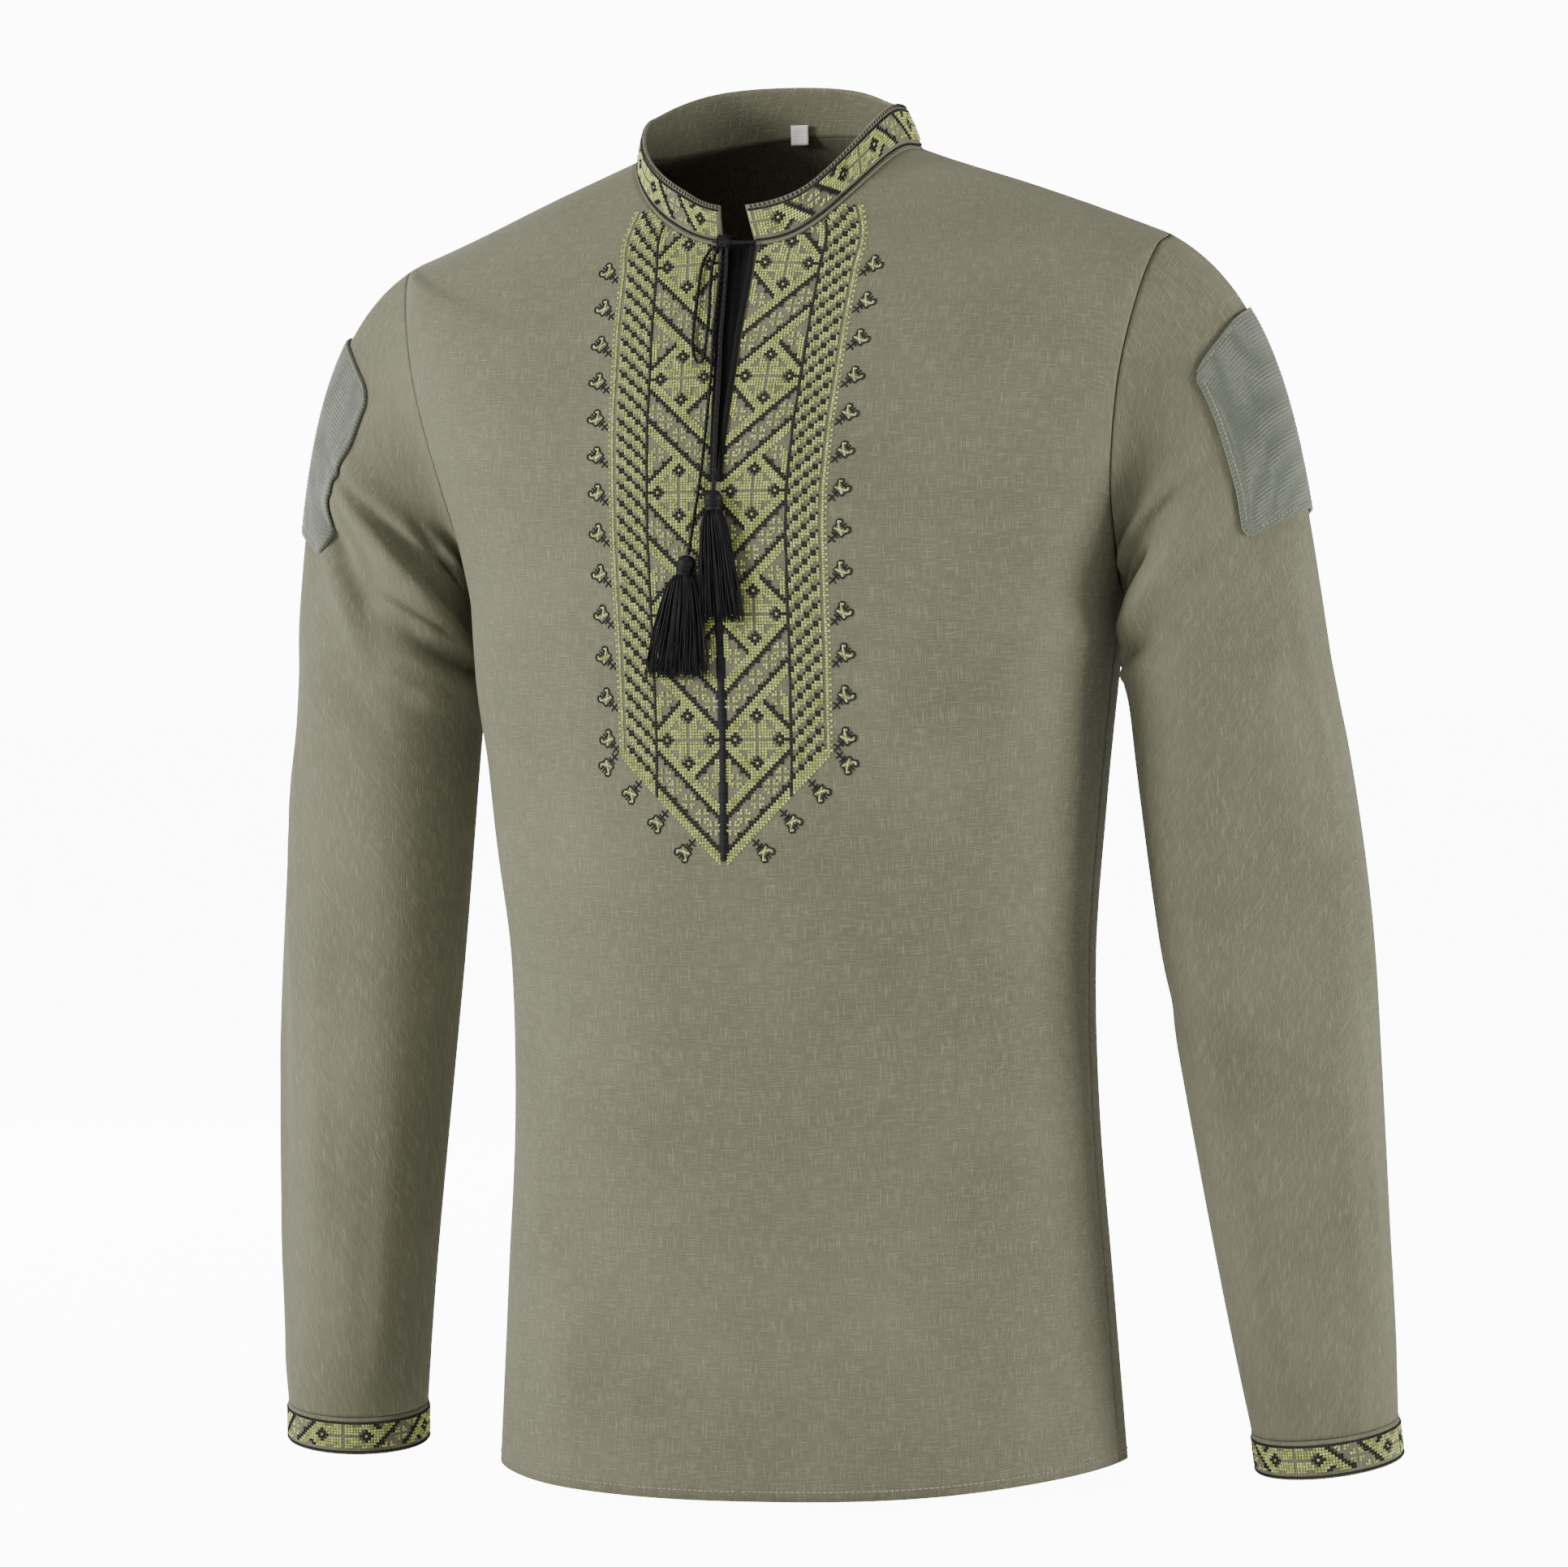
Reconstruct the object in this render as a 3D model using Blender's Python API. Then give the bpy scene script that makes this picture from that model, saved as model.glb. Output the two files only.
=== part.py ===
"""Embroidered linen shirt with a stand collar, filled out as worn, with no wearer.

Metres, +Z up. The front faces -Y, and the wearer's left is +X. The origin is the
middle of the neck, level with the points where collar and shoulder seams meet.
"""

from math import cos, pi, radians, sin

import bmesh
import bpy
import numpy as np
from mathutils import Vector

for old in list(bpy.data.objects):
    bpy.data.objects.remove(old, do_unlink=True)

# Wall thicknesses and gaps
CLOTH = 0.0014
COLLAR_CLOTH = 0.0020
CUFF_CLOTH = 0.0020
PAD_CLOTH = 0.0016
FACING_CLOTH = 0.0010
SEAM = 0.0003
LAY_GAP = 0.0005
PAD_GAP = 0.0009

# Each row is one level of a panel: its side edge, its centre line, and how far round
# the figure the row wraps, in degrees.
PANEL_COLUMNS = ("edge_x", "edge_y", "edge_z", "centre_y", "centre_z", "wrap")
FRONT_ROWS = (
    (0.1730, 0.006, -0.7060, -0.1150, -0.7160, 90),
    (0.1668, 0.006, -0.6100, -0.1110, -0.6140, 90),
    (0.1615, 0.005, -0.5200, -0.1090, -0.5200, 90),
    (0.1610, 0.005, -0.4350, -0.1130, -0.4400, 90),
    (0.1675, 0.005, -0.3600, -0.1160, -0.3700, 90),
    (0.1750, 0.005, -0.2940, -0.1140, -0.3060, 90),
    (0.1830, 0.006, -0.2380, -0.1110, -0.2500, 88),
    (0.1860, -0.012, -0.2170, -0.1080, -0.2180, 82),
    (0.1900, -0.034, -0.1800, -0.1040, -0.1860, 72),
    (0.1990, -0.047, -0.1280, -0.0980, -0.1500, 68),
    (0.2070, -0.040, -0.0880, -0.0915, -0.1270, 72),
    (0.2130, -0.022, -0.0600, -0.0870, -0.1110, 78),
    (0.2150, 0.002, -0.0500, -0.0840, -0.0980, 84),
    (0.1780, 0.003, -0.0350, -0.0780, -0.0810, 88),
    (0.1280, 0.002, -0.0155, -0.0730, -0.0650, 90),
    (0.0750, 0.000, 0.0030, -0.0690, -0.0505, 90),
)
BACK_ROWS = (
    (0.1730, 0.006, -0.7060, 0.1120, -0.7160, 90),
    (0.1668, 0.006, -0.6100, 0.1080, -0.6140, 90),
    (0.1615, 0.005, -0.5200, 0.1020, -0.5200, 90),
    (0.1610, 0.005, -0.4350, 0.1010, -0.4350, 90),
    (0.1675, 0.005, -0.3600, 0.1080, -0.3550, 90),
    (0.1750, 0.005, -0.2940, 0.1160, -0.2850, 90),
    (0.1830, 0.006, -0.2380, 0.1210, -0.2200, 88),
    (0.1870, 0.028, -0.2170, 0.1220, -0.1880, 82),
    (0.1930, 0.050, -0.1800, 0.1200, -0.1500, 72),
    (0.2010, 0.057, -0.1280, 0.1140, -0.1120, 68),
    (0.2080, 0.046, -0.0880, 0.1065, -0.0810, 72),
    (0.2130, 0.026, -0.0600, 0.0995, -0.0600, 78),
    (0.2150, 0.002, -0.0500, 0.0930, -0.0420, 84),
    (0.1780, 0.003, -0.0350, 0.0820, -0.0190, 88),
    (0.1280, 0.002, -0.0155, 0.0730, -0.0010, 90),
    (0.0750, 0.000, 0.0030, 0.0650, 0.0125, 90),
)
UNDERARM_ROW = 6
SHOULDER_ROW = 12
NECK_ROW = 15

# Roundness of the figure's sections: 2 is an ellipse, more is squarer
FRONT_ROUNDNESS = 2.35
BACK_ROUNDNESS = 2.20

# Grid of the panels, and the row at which the neck slit ends
HEM_STEPS = 11
ARMHOLE_STEPS = 12
SHOULDER_STEPS = 5
SIDE_STEPS = 9
SLIT_STEP = 15
SLIT_HALF_TOP = 0.0066
SLIT_SPREAD = 1.2

# The middle line of the front hangs a little off centre: its x at rising heights
MIDDLE_LINE = (
    (-0.3000, 0.0000), (-0.2650, -0.0014), (-0.2450, -0.0027), (-0.2050, -0.0052), (-0.1800, -0.0055),
    (-0.1360, -0.0045), (-0.1060, -0.0040), (-0.0626, -0.0024), (-0.0500, -0.0024),
)

# The neck seam falls towards the sides, as a share of x, and its sides sit a little
# to the wearer's right. The wearer's left shoulder seam is a little raised.
NECK_FALL = 0.048
NECK_SHIFT = -0.0035
LEFT_SHOULDER_RISE = 0.0045

# Sleeve sections down the arm: centre, half sizes along and across the flat of the
# sleeve, and how far the flat is turned back, in degrees.
ARM_COLUMNS = ("x", "y", "z", "wide", "narrow", "turned")
ARM_ROWS = (
    (0.2415, 0.0080, -0.2800, 0.0542, 0.0490, 10),
    (0.2475, 0.0105, -0.3300, 0.0558, 0.0460, 12),
    (0.2572, 0.0140, -0.4200, 0.0556, 0.0420, 13),
    (0.2648, 0.0170, -0.5000, 0.0515, 0.0410, 13),
    (0.2730, 0.0215, -0.5900, 0.0457, 0.0400, 13),
    (0.2785, 0.0270, -0.6500, 0.0418, 0.0390, 13),
    (0.2810, 0.0315, -0.6850, 0.0388, 0.0378, 13),
)
CAP_STEPS = 9
ARM_STEPS = 11
CUFF_HEIGHT = 0.021

# Large folds of a sleeve: each runs from one place to another, given as degrees round
# the arm (0 outside, 90 front, 180 inside) and share of the sleeve's length.
FOLD_COLUMNS = ("turn_a", "share_a", "turn_b", "share_b", "width", "height")
SLEEVE_FOLDS = {
    "left": (
        (60, 0.25, 168, 0.33, 0.014, 0.0055),
        (75, 0.36, 165, 0.39, 0.013, -0.0050),
        (95, 0.33, 172, 0.44, 0.012, 0.0040),
        (300, 0.24, 200, 0.33, 0.015, 0.0050),
        (290, 0.34, 195, 0.41, 0.014, -0.0040),
        (30, 0.50, 60, 0.92, 0.014, -0.0030),
        (120, 0.55, 110, 0.90, 0.016, 0.0030),
        (210, 0.48, 240, 0.88, 0.016, -0.0030),
        (330, 0.55, 315, 0.90, 0.016, 0.0025),
    ),
    "right": (
        (58, 0.22, 166, 0.34, 0.012, 0.0060),
        (66, 0.28, 160, 0.40, 0.012, -0.0055),
        (80, 0.30, 170, 0.46, 0.012, 0.0050),
        (300, 0.24, 200, 0.34, 0.015, 0.0050),
        (285, 0.34, 195, 0.42, 0.014, -0.0040),
        (20, 0.45, 45, 0.90, 0.015, -0.0030),
        (105, 0.50, 125, 0.92, 0.016, 0.0030),
        (215, 0.50, 235, 0.90, 0.016, -0.0030),
        (335, 0.58, 320, 0.92, 0.016, 0.0025),
    ),
}
# Large folds of the front and back: places are x and z on the panel
BODY_FOLD_COLUMNS = ("x_a", "z_a", "x_b", "z_b", "width", "height")
FRONT_FOLDS = (
    (0.150, -0.255, 0.125, -0.420, 0.018, 0.0030),
    (-0.150, -0.255, -0.128, -0.400, 0.018, 0.0035),
    (0.120, -0.330, 0.118, -0.600, 0.024, -0.0025),
    (-0.115, -0.300, -0.122, -0.560, 0.024, -0.0025),
    (0.095, -0.560, 0.105, -0.715, 0.022, 0.0035),
    (-0.100, -0.590, -0.112, -0.715, 0.020, 0.0035),
    (0.020, -0.610, 0.024, -0.715, 0.026, -0.0025),
)
BACK_FOLDS = (
    (0.030, -0.180, 0.045, -0.480, 0.020, 0.0040),
    (-0.030, -0.180, -0.045, -0.480, 0.020, 0.0040),
    (0.110, -0.250, 0.095, -0.520, 0.020, -0.0030),
    (-0.110, -0.250, -0.095, -0.520, 0.020, -0.0030),
    (0.070, -0.520, 0.085, -0.715, 0.024, 0.0040),
    (-0.070, -0.520, -0.085, -0.715, 0.024, 0.0040),
    (0.000, -0.500, 0.000, -0.715, 0.024, -0.0030),
)

# Stand collar
COLLAR_BACK_HEIGHT = 0.0250
COLLAR_FRONT_HEIGHT = 0.0200
COLLAR_LEAN = 0.0030
# The collar leans in further at the wearer's left, and its height changes along it:
# the column where it does, over how many columns, and by how much
COLLAR_LEFT_LEAN = 0.0060
COLLAR_TRIMS = ((6.8, 2.8, -0.0080), (13.0, 3.5, 0.0055), (23.0, 3.0, -0.0040))
# The front ends start outside the slit's edges, and both lean to the wearer's right
COLLAR_END_GAP = 0.0025
COLLAR_END_LEANS = (-0.0030, -0.0062)

# Neck tie: routes down the front as x and z, and how far the cord's centre stands off
# the cloth's middle.
CORD_DIAMETER = 0.0019
ROUTE_COLUMNS = ("x", "z", "off")
KNOT_ROUTE = (
    (-0.0160, -0.0490, 0.0037, 0.0009),
    (-0.0140, -0.0488, 0.0044, 0.0011),
    (-0.0122, -0.0486, 0.0050, 0.0023),
    (-0.0098, -0.0486, 0.0054, 0.0029),
    (-0.0074, -0.0488, 0.0050, 0.0023),
    (-0.0056, -0.0490, 0.0046, 0.0012),
    (0.0010, -0.0500, 0.0040, 0.0009),
    (0.0080, -0.0496, 0.0038, 0.0009),
)
LOOP_ROUTE = (
    (-0.0150, -0.0522, 0.0044),
    (-0.0180, -0.0545, 0.0034),
    (-0.0216, -0.0621, 0.0030),
    (-0.0229, -0.0794, 0.0028),
    (-0.0231, -0.0990, 0.0028),
    (-0.0222, -0.1085, 0.0028),
    (-0.0192, -0.1135, 0.0028),
    (-0.0160, -0.1105, 0.0034),
    (-0.0148, -0.0927, 0.0037),
    (-0.0158, -0.0709, 0.0037),
    (-0.0150, -0.0600, 0.0039),
    (-0.0127, -0.0533, 0.0046),
)
TAIL_ROUTES = {
    "left": (
        (-0.0074, -0.0534, 0.0050),
        (-0.0074, -0.0640, 0.0040),
        (-0.0072, -0.0950, 0.0036),
        (-0.0066, -0.1300, 0.0036),
        (-0.0056, -0.1600, 0.0044),
        (-0.0050, -0.1812, 0.0058),
    ),
    "right": (
        (-0.0101, -0.0536, 0.0050),
        (-0.0105, -0.0640, 0.0040),
        (-0.0112, -0.0900, 0.0036),
        (-0.0111, -0.1150, 0.0034),
        (-0.0116, -0.1490, 0.0034),
        (-0.0135, -0.1746, 0.0036),
        (-0.0163, -0.2000, 0.0048),
        (-0.0180, -0.2152, 0.0058),
    ),
}
# Tassels: head's top, head's foot, ends of the strands, and half width of the ends
TASSEL_COLUMNS = ("top_x", "top_z", "foot_x", "foot_z", "end_x", "end_z", "half_wide")
TASSELS = {
    "left": (-0.0050, -0.1815, -0.0046, -0.1925, 0.0010, -0.2500, 0.0115),
    "right": (-0.0180, -0.2155, -0.0204, -0.2262, -0.0240, -0.2790, 0.0165),
}
TASSEL_HEAD = 0.0050
TASSEL_OFF = 0.0058
STRANDS_ACROSS = 6
STRANDS_DEEP = 5
STRAND_PARTS = 3

# Size tag inside the back of the neck
TAG_X = -0.0143
TAG_Y = 0.0612
TAG_WIDE = 0.0100
TAG_TALL = 0.0110
TAG_TOP = 0.0192

# Hook and loop pads on the upper arms: degrees round the arm, and steps of the sleeve
PAD_TURNS = (-42.0, 56.0)
PAD_STEPS = (2.3, 6.3)


def curve(rows, t, corners=()):
    """A smooth curve through a table's rows, at row number t, bent at corner rows."""
    table = np.array(rows, float)
    t = min(max(t, 0.0), len(table) - 1.0)
    i = min(int(t), len(table) - 2)
    f = t - i
    b, c = table[i], table[i + 1]
    a = 2 * b - c if i == 0 or i in corners else table[i - 1]
    d = 2 * c - b if i + 2 == len(table) or i + 1 in corners else table[i + 2]
    return b + 0.5 * f * (c - a + f * (2 * a - 5 * b + 4 * c - d + f * (3 * (b - c) + d - a)))


def sample(rows, t):
    """A panel row: its edge turns corners at the underarm and at the shoulder."""
    row = curve(rows, t)
    row[:3] = curve(rows, t, (UNDERARM_ROW, SHOULDER_ROW))[:3]
    row[5] = min(row[5], 90.0)
    return row


def smoothstep(low, high, value):
    f = min(max((value - low) / (high - low), 0.0), 1.0)
    return f * f * (3 - 2 * f)


def panel_surface(rows, roundness, turn, t):
    """A point of the front or back: turn is radians round from the centre line."""
    edge_x, edge_y, edge_z, centre_y, centre_z, wrap = sample(rows, t)
    full = radians(wrap)
    side = 1 if turn >= 0 else -1
    angle = min(abs(turn), full)
    power = 2 / roundness
    out = sin(angle) ** power / sin(full) ** power
    back = (1 - max(cos(angle), 0) ** power) / (1 - max(cos(full), 0) ** power)
    dip = sin(angle) ** 2 / sin(full) ** 2
    return Vector((
        side * edge_x * out,
        centre_y + (edge_y - centre_y) * back,
        centre_z + (edge_z - centre_z) * dip,
    ))


def fold_height(folds, across, along):
    """How far the cloth stands out at a place, from a table of straight soft folds."""
    total = 0.0
    for ax, az, bx, bz, width, height in folds:
        dx, dz = bx - ax, bz - az
        length = dx * dx + dz * dz
        f = ((across - ax) * dx + (along - az) * dz) / length
        near = min(max(f, 0.0), 1.0)
        away = (across - ax - near * dx) ** 2 + (along - az - near * dz) ** 2
        fade = smoothstep(-0.25, 0.2, f) * smoothstep(-0.25, 0.2, 1 - f)
        total += height * fade * np.exp(-away / (2 * width * width))
    return total


def grid_mesh(columns, rows, place, closed=False):
    """A bmesh grid whose vertices are moved to place(i, j)."""
    bm = bmesh.new()
    points = [[bm.verts.new(place(i, j)) for i in range(columns)] for j in range(rows)]
    for j in range(rows - 1):
        for i in range(columns if closed else columns - 1):
            k = (i + 1) % columns
            bm.faces.new((points[j][i], points[j][k], points[j + 1][k], points[j + 1][i]))
    return bm


def paint(name, colour, roughness):
    material = bpy.data.materials.new(name)
    material.use_nodes = True
    shader = material.node_tree.nodes["Principled BSDF"]
    shader.inputs["Base Color"].default_value = (*colour, 1)
    shader.inputs["Roughness"].default_value = roughness
    shader.inputs["Metallic"].default_value = 0.0
    material.diffuse_color = (*colour, 1)
    return material


LINEN = paint("olive linen", (0.155, 0.155, 0.112), 0.9)
BAND = paint("embroidered linen band", (0.30, 0.33, 0.14), 0.9)
PAD = paint("loop tape", (0.150, 0.175, 0.125), 0.95)
BLACK = paint("black cotton", (0.012, 0.012, 0.013), 0.85)
WHITE = paint("white satin tape", (0.85, 0.85, 0.83), 0.6)


def add_object(name, bm, material, thickness=None):
    """An object made from a bmesh; a thickness turns its sheet into a closed wall."""
    mesh = bpy.data.meshes.new(name)
    bm.normal_update()
    bm.to_mesh(mesh)
    bm.free()
    mesh.materials.append(material)
    mesh.shade_smooth()
    mesh.set_sharp_from_angle(angle=radians(50))
    obj = bpy.data.objects.new(name, mesh)
    bpy.context.scene.collection.objects.link(obj)
    if thickness:
        wall = obj.modifiers.new("wall", "SOLIDIFY")
        wall.thickness = thickness
        wall.offset = 0.0
        wall.use_rim = True
    return obj


def panel_rows(rows):
    """Row numbers of the panel grid, evenly spaced along the edge."""
    found = []
    parts = (
        (0, UNDERARM_ROW, HEM_STEPS),
        (UNDERARM_ROW, SHOULDER_ROW, ARMHOLE_STEPS),
        (SHOULDER_ROW, NECK_ROW, SHOULDER_STEPS),
    )
    for low, high, steps in parts:
        ts = np.linspace(low, high, 200)
        edge = np.array([sample(rows, t)[:3] for t in ts])
        run = np.concatenate(([0], np.cumsum(np.linalg.norm(np.diff(edge, axis=0), axis=1))))
        wanted = np.linspace(0, run[-1], steps + 1)
        found += list(np.interp(wanted, run, ts)[1 if found else 0:])
    return found


FRONT_TS = panel_rows(FRONT_ROWS)
BACK_TS = panel_rows(BACK_ROWS)
SLIT_BOTTOM_Z = sample(FRONT_ROWS, FRONT_TS[SLIT_STEP])[4]
SLIT_TOP_Z = FRONT_ROWS[NECK_ROW][4]


def slit_half(t):
    """Half the width of the neck slit at row t."""
    share = (sample(FRONT_ROWS, t)[4] - SLIT_BOTTOM_Z) / (SLIT_TOP_Z - SLIT_BOTTOM_Z)
    return SLIT_HALF_TOP * max(share, 0.0) ** SLIT_SPREAD


def middle_x(t):
    """The x of the front's middle line at row t."""
    heights, places = zip(*MIDDLE_LINE)
    return float(np.interp(sample(FRONT_ROWS, t)[4], heights, places))


def slit_turn(side, t):
    """Radians from x = 0 to the edge of the neck slit at row t, less than 0 past it."""
    edge_x, _, _, _, _, wrap = sample(FRONT_ROWS, t)
    away = slit_half(t) + side * middle_x(t)
    turn = np.arcsin((abs(away) / edge_x) ** (FRONT_ROUNDNESS / 2) * sin(radians(wrap)))
    return turn if away >= 0 else -turn


def panel_at(which, side, turn, t, out=0.0):
    """A point of the front or back, turn radians round from the centre line."""
    rows = FRONT_ROWS if which == "front" else BACK_ROWS
    roundness = FRONT_ROUNDNESS if which == "front" else BACK_ROUNDNESS
    facing = -1 if which == "front" else 1
    if turn < 0:
        side, turn = -side, -turn

    def place(turn, t):
        full = radians(sample(rows, t)[5])
        point = panel_surface(rows, roundness, min(turn, full), t)
        point.x *= side
        point.y += facing * SEAM
        fall = (point.x ** 2 + 0.0004) ** 0.5 - 0.02
        point.z -= NECK_FALL * fall * smoothstep(SHOULDER_ROW - 2, NECK_ROW, t)
        near_neck = smoothstep(SHOULDER_ROW, NECK_ROW, t) * smoothstep(0.02, 0.06, abs(point.x))
        point.x += NECK_SHIFT * near_neck
        if side == 1:
            bump = smoothstep(9, 13, t) * (1 - 0.8 * smoothstep(13, NECK_ROW, t))
            point.z += LEFT_SHOULDER_RISE * bump * smoothstep(0.02, 0.13, point.x)
        return point

    point = place(turn, t)
    full = radians(sample(rows, t)[5])
    h = 0.02
    along = place(min(turn + h, full), t) - place(max(turn - h, 0), t)
    up = place(turn, min(t + h, NECK_ROW)) - place(turn, max(t - h, 0))
    normal = along.cross(up).normalized()
    if normal.dot(Vector((side * 0.3, facing, 0.3))) < 0:
        normal = -normal
    folds = FRONT_FOLDS if which == "front" else BACK_FOLDS
    hold = smoothstep(0.0, 0.4, full - turn) * smoothstep(0.0, 2.0, NECK_ROW - t)
    rise = fold_height(folds, point.x, point.z) * hold
    return point + normal * (rise + out)


def panel_point(which, side, a, t, out=0.0):
    """A point of the front or back: a runs 0 to 1 from the centre or slit to the edge."""
    rows = FRONT_ROWS if which == "front" else BACK_ROWS
    full = radians(sample(rows, t)[5])
    start = slit_turn(side, t) if which == "front" else 0.0
    return panel_at(which, side, start + a ** 1.15 * (full - start), t, out)


def front_at_x(x, t, out=0.0):
    """The point of the unslit front at x on row t."""
    edge_x, _, _, _, _, wrap = sample(FRONT_ROWS, t)
    turn = np.arcsin((abs(x) / edge_x) ** (FRONT_ROUNDNESS / 2) * sin(radians(wrap)))
    return panel_at("front", 1 if x > 0 else -1, turn, t, out)


def panel_mesh(which):
    """The front or back sheet as a grid; the front is split above the slit's end."""
    ts = FRONT_TS if which == "front" else BACK_TS
    bm = bmesh.new()
    sides = {}
    for j, t in enumerate(ts):
        for side in (-1, 1):
            for i in range(SIDE_STEPS + 1):
                shared = i == 0 and side == 1 and (which == "back" or j <= SLIT_STEP)
                if shared:
                    sides[side, i, j] = sides[-1, i, j]
                else:
                    point = panel_point(which, side, i / SIDE_STEPS, t)
                    sides[side, i, j] = bm.verts.new(point)
    for j in range(len(ts) - 1):
        for side in (-1, 1):
            for i in range(SIDE_STEPS):
                a, b = sides[side, i, j], sides[side, i + 1, j]
                c, d = sides[side, i + 1, j + 1], sides[side, i, j + 1]
                outward = (side == 1) == (which == "front")
                bm.faces.new((a, b, c, d) if outward else (d, c, b, a))
    return bm


def armhole_points(side):
    """The armhole round from the shoulder, down the front and up the back."""
    front = [FRONT_TS[HEM_STEPS + k] for k in range(ARMHOLE_STEPS, -1, -1)]
    back = [BACK_TS[HEM_STEPS + k] for k in range(1, ARMHOLE_STEPS)]
    points = [panel_point("front", side, 1.0, t) for t in front]
    points += [panel_point("back", side, 1.0, t) for t in back]
    points[0].y = (points[0].y + panel_point("back", side, 1.0, SHOULDER_ROW).y) / 2
    middle = ARMHOLE_STEPS
    points[middle].y = panel_point("back", side, 1.0, UNDERARM_ROW).y / 2 + points[middle].y / 2
    return points


TURNS = 2 * ARMHOLE_STEPS


def arm_centre(side, row):
    return Vector((side * row[0], row[1], row[2]))


def arm_ring(side, share, turn):
    """A point of the sleeve's lower part; turn is radians from outside to front."""
    at = share * (len(ARM_ROWS) - 1)
    row = curve(ARM_ROWS, at)
    before = arm_centre(1, curve(ARM_ROWS, max(at - 0.1, 0)))
    after = arm_centre(1, curve(ARM_ROWS, min(at + 0.1, len(ARM_ROWS) - 1)))
    down = (after - before).normalized()
    flat = Vector((cos(radians(row[5])), sin(radians(row[5])), 0))
    flat = (flat - down * flat.dot(down)).normalized()
    thin = down.cross(flat).normalized()
    if thin.y > 0:
        thin = -thin
    angle = turn + radians(row[5])
    point = arm_centre(1, row) + flat * (row[3] * cos(angle)) + thin * (row[4] * sin(angle))
    point.x *= side
    return point, Vector((side * down.x, down.y, down.z))


SLEEVE_ROWS = CAP_STEPS + ARM_STEPS


def sleeve_starts(side):
    """Where the sleeve starts off the armhole seam, and which way it leaves it."""
    seam = armhole_points(side)
    front = [FRONT_TS[HEM_STEPS + k] for k in range(ARMHOLE_STEPS, -1, -1)]
    back = [BACK_TS[HEM_STEPS + k] for k in range(1, ARMHOLE_STEPS)]
    inner = [panel_point("front", side, 0.93, t) for t in front]
    inner += [panel_point("back", side, 0.93, t) for t in back]
    aways = []
    ways = []
    for i in range(TURNS):
        turn = 2 * pi * i / TURNS
        along = (seam[(i + 1) % TURNS] - seam[i - 1]).normalized()
        step = seam[i] - inner[i]
        away = step - along * step.dot(along)
        if away.length < 0.35 * step.length or cos(turn) < -0.8:
            away = Vector((side * 0.2, 0, 1))
        if i == 0:
            away = Vector((side, 0, -0.35))
        away.normalize()
        aways.append(away)
        low = max(-cos(turn), 0.0)
        lean = Vector((side, 0.0, -0.2 * (1 - low)))
        ways.append((away + lean * (0.25 + 0.5 * low)).normalized())
    for _ in range(2):
        ways = [(ways[i - 1] + ways[i] * 2 + ways[(i + 1) % TURNS]) / 4 for i in range(TURNS)]
    starts = []
    for spot, away, way in zip(seam, aways, ways):
        bend = away.angle(way)
        starts.append((spot + way.normalized() * (0.0007 + CLOTH * sin(bend / 2)), way.normalized()))
    return starts


def sleeve_point(side, starts, i, j):
    """A point of a sleeve before its folds: column i round it, row j down it."""
    turn = 2 * pi * i / TURNS
    if j >= CAP_STEPS:
        return arm_ring(side, (j - CAP_STEPS) / ARM_STEPS, turn)[0]
    low = int(i) % TURNS
    f = i - int(i)
    place, way = starts[low]
    if f > 0:
        place = place.lerp(starts[(low + 1) % TURNS][0], f)
        way = way.lerp(starts[(low + 1) % TURNS][1], f).normalized()
    end, down = arm_ring(side, 0.0, turn)
    chord = (end - place).length
    s = j / CAP_STEPS
    leave = way * chord * (0.85 + 0.15 * cos(turn))
    arrive = down * chord * 1.05
    return (
        place * (2 * s ** 3 - 3 * s ** 2 + 1)
        + leave * (s ** 3 - 2 * s ** 2 + s)
        + end * (3 * s ** 2 - 2 * s ** 3)
        + arrive * (s ** 3 - s ** 2)
    )


def sleeve_fold(side, i, j):
    """How far the sleeve's cloth stands out at column i and row j."""
    degrees_round = 360.0 * i / TURNS
    share = j / SLEEVE_ROWS
    total = 0.0
    for turn_a, share_a, turn_b, share_b, width, height in SLEEVE_FOLDS[side]:
        for whole_turn in (-360, 0, 360):
            fold = (
                (turn_a + whole_turn) * 0.00087, share_a * 0.60,
                (turn_b + whole_turn) * 0.00087, share_b * 0.60, width, height,
            )
            total += fold_height((fold,), degrees_round * 0.00087, share * 0.60)
    return total * smoothstep(0, 3, j) * smoothstep(0, 2, SLEEVE_ROWS - j)


def sleeve_mesh(side_name):
    side = 1 if side_name == "left" else -1
    starts = sleeve_starts(side)
    bm = grid_mesh(TURNS, SLEEVE_ROWS + 1, lambda i, j: sleeve_point(side, starts, i, j), True)
    bmesh.ops.recalc_face_normals(bm, faces=bm.faces)
    bm.verts.ensure_lookup_table()
    if bm.verts[TURNS * (SLEEVE_ROWS - 2)].normal.dot(Vector((side, 0, 0))) < 0:
        bmesh.ops.reverse_faces(bm, faces=bm.faces)
    heights = [sleeve_fold(side_name, k % TURNS, k // TURNS) for k in range(len(bm.verts))]
    bm.normal_update()
    moves = [v.normal * heights[k] for k, v in enumerate(bm.verts)]
    for vertex, move in zip(bm.verts, moves):
        vertex.co += move
    return bm


def grid_lines(low, high):
    """The two ends and every whole grid line between them."""
    return [low] + [k for k in range(int(low) + 1, int(high) + 1) if k < high] + [high]


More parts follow.
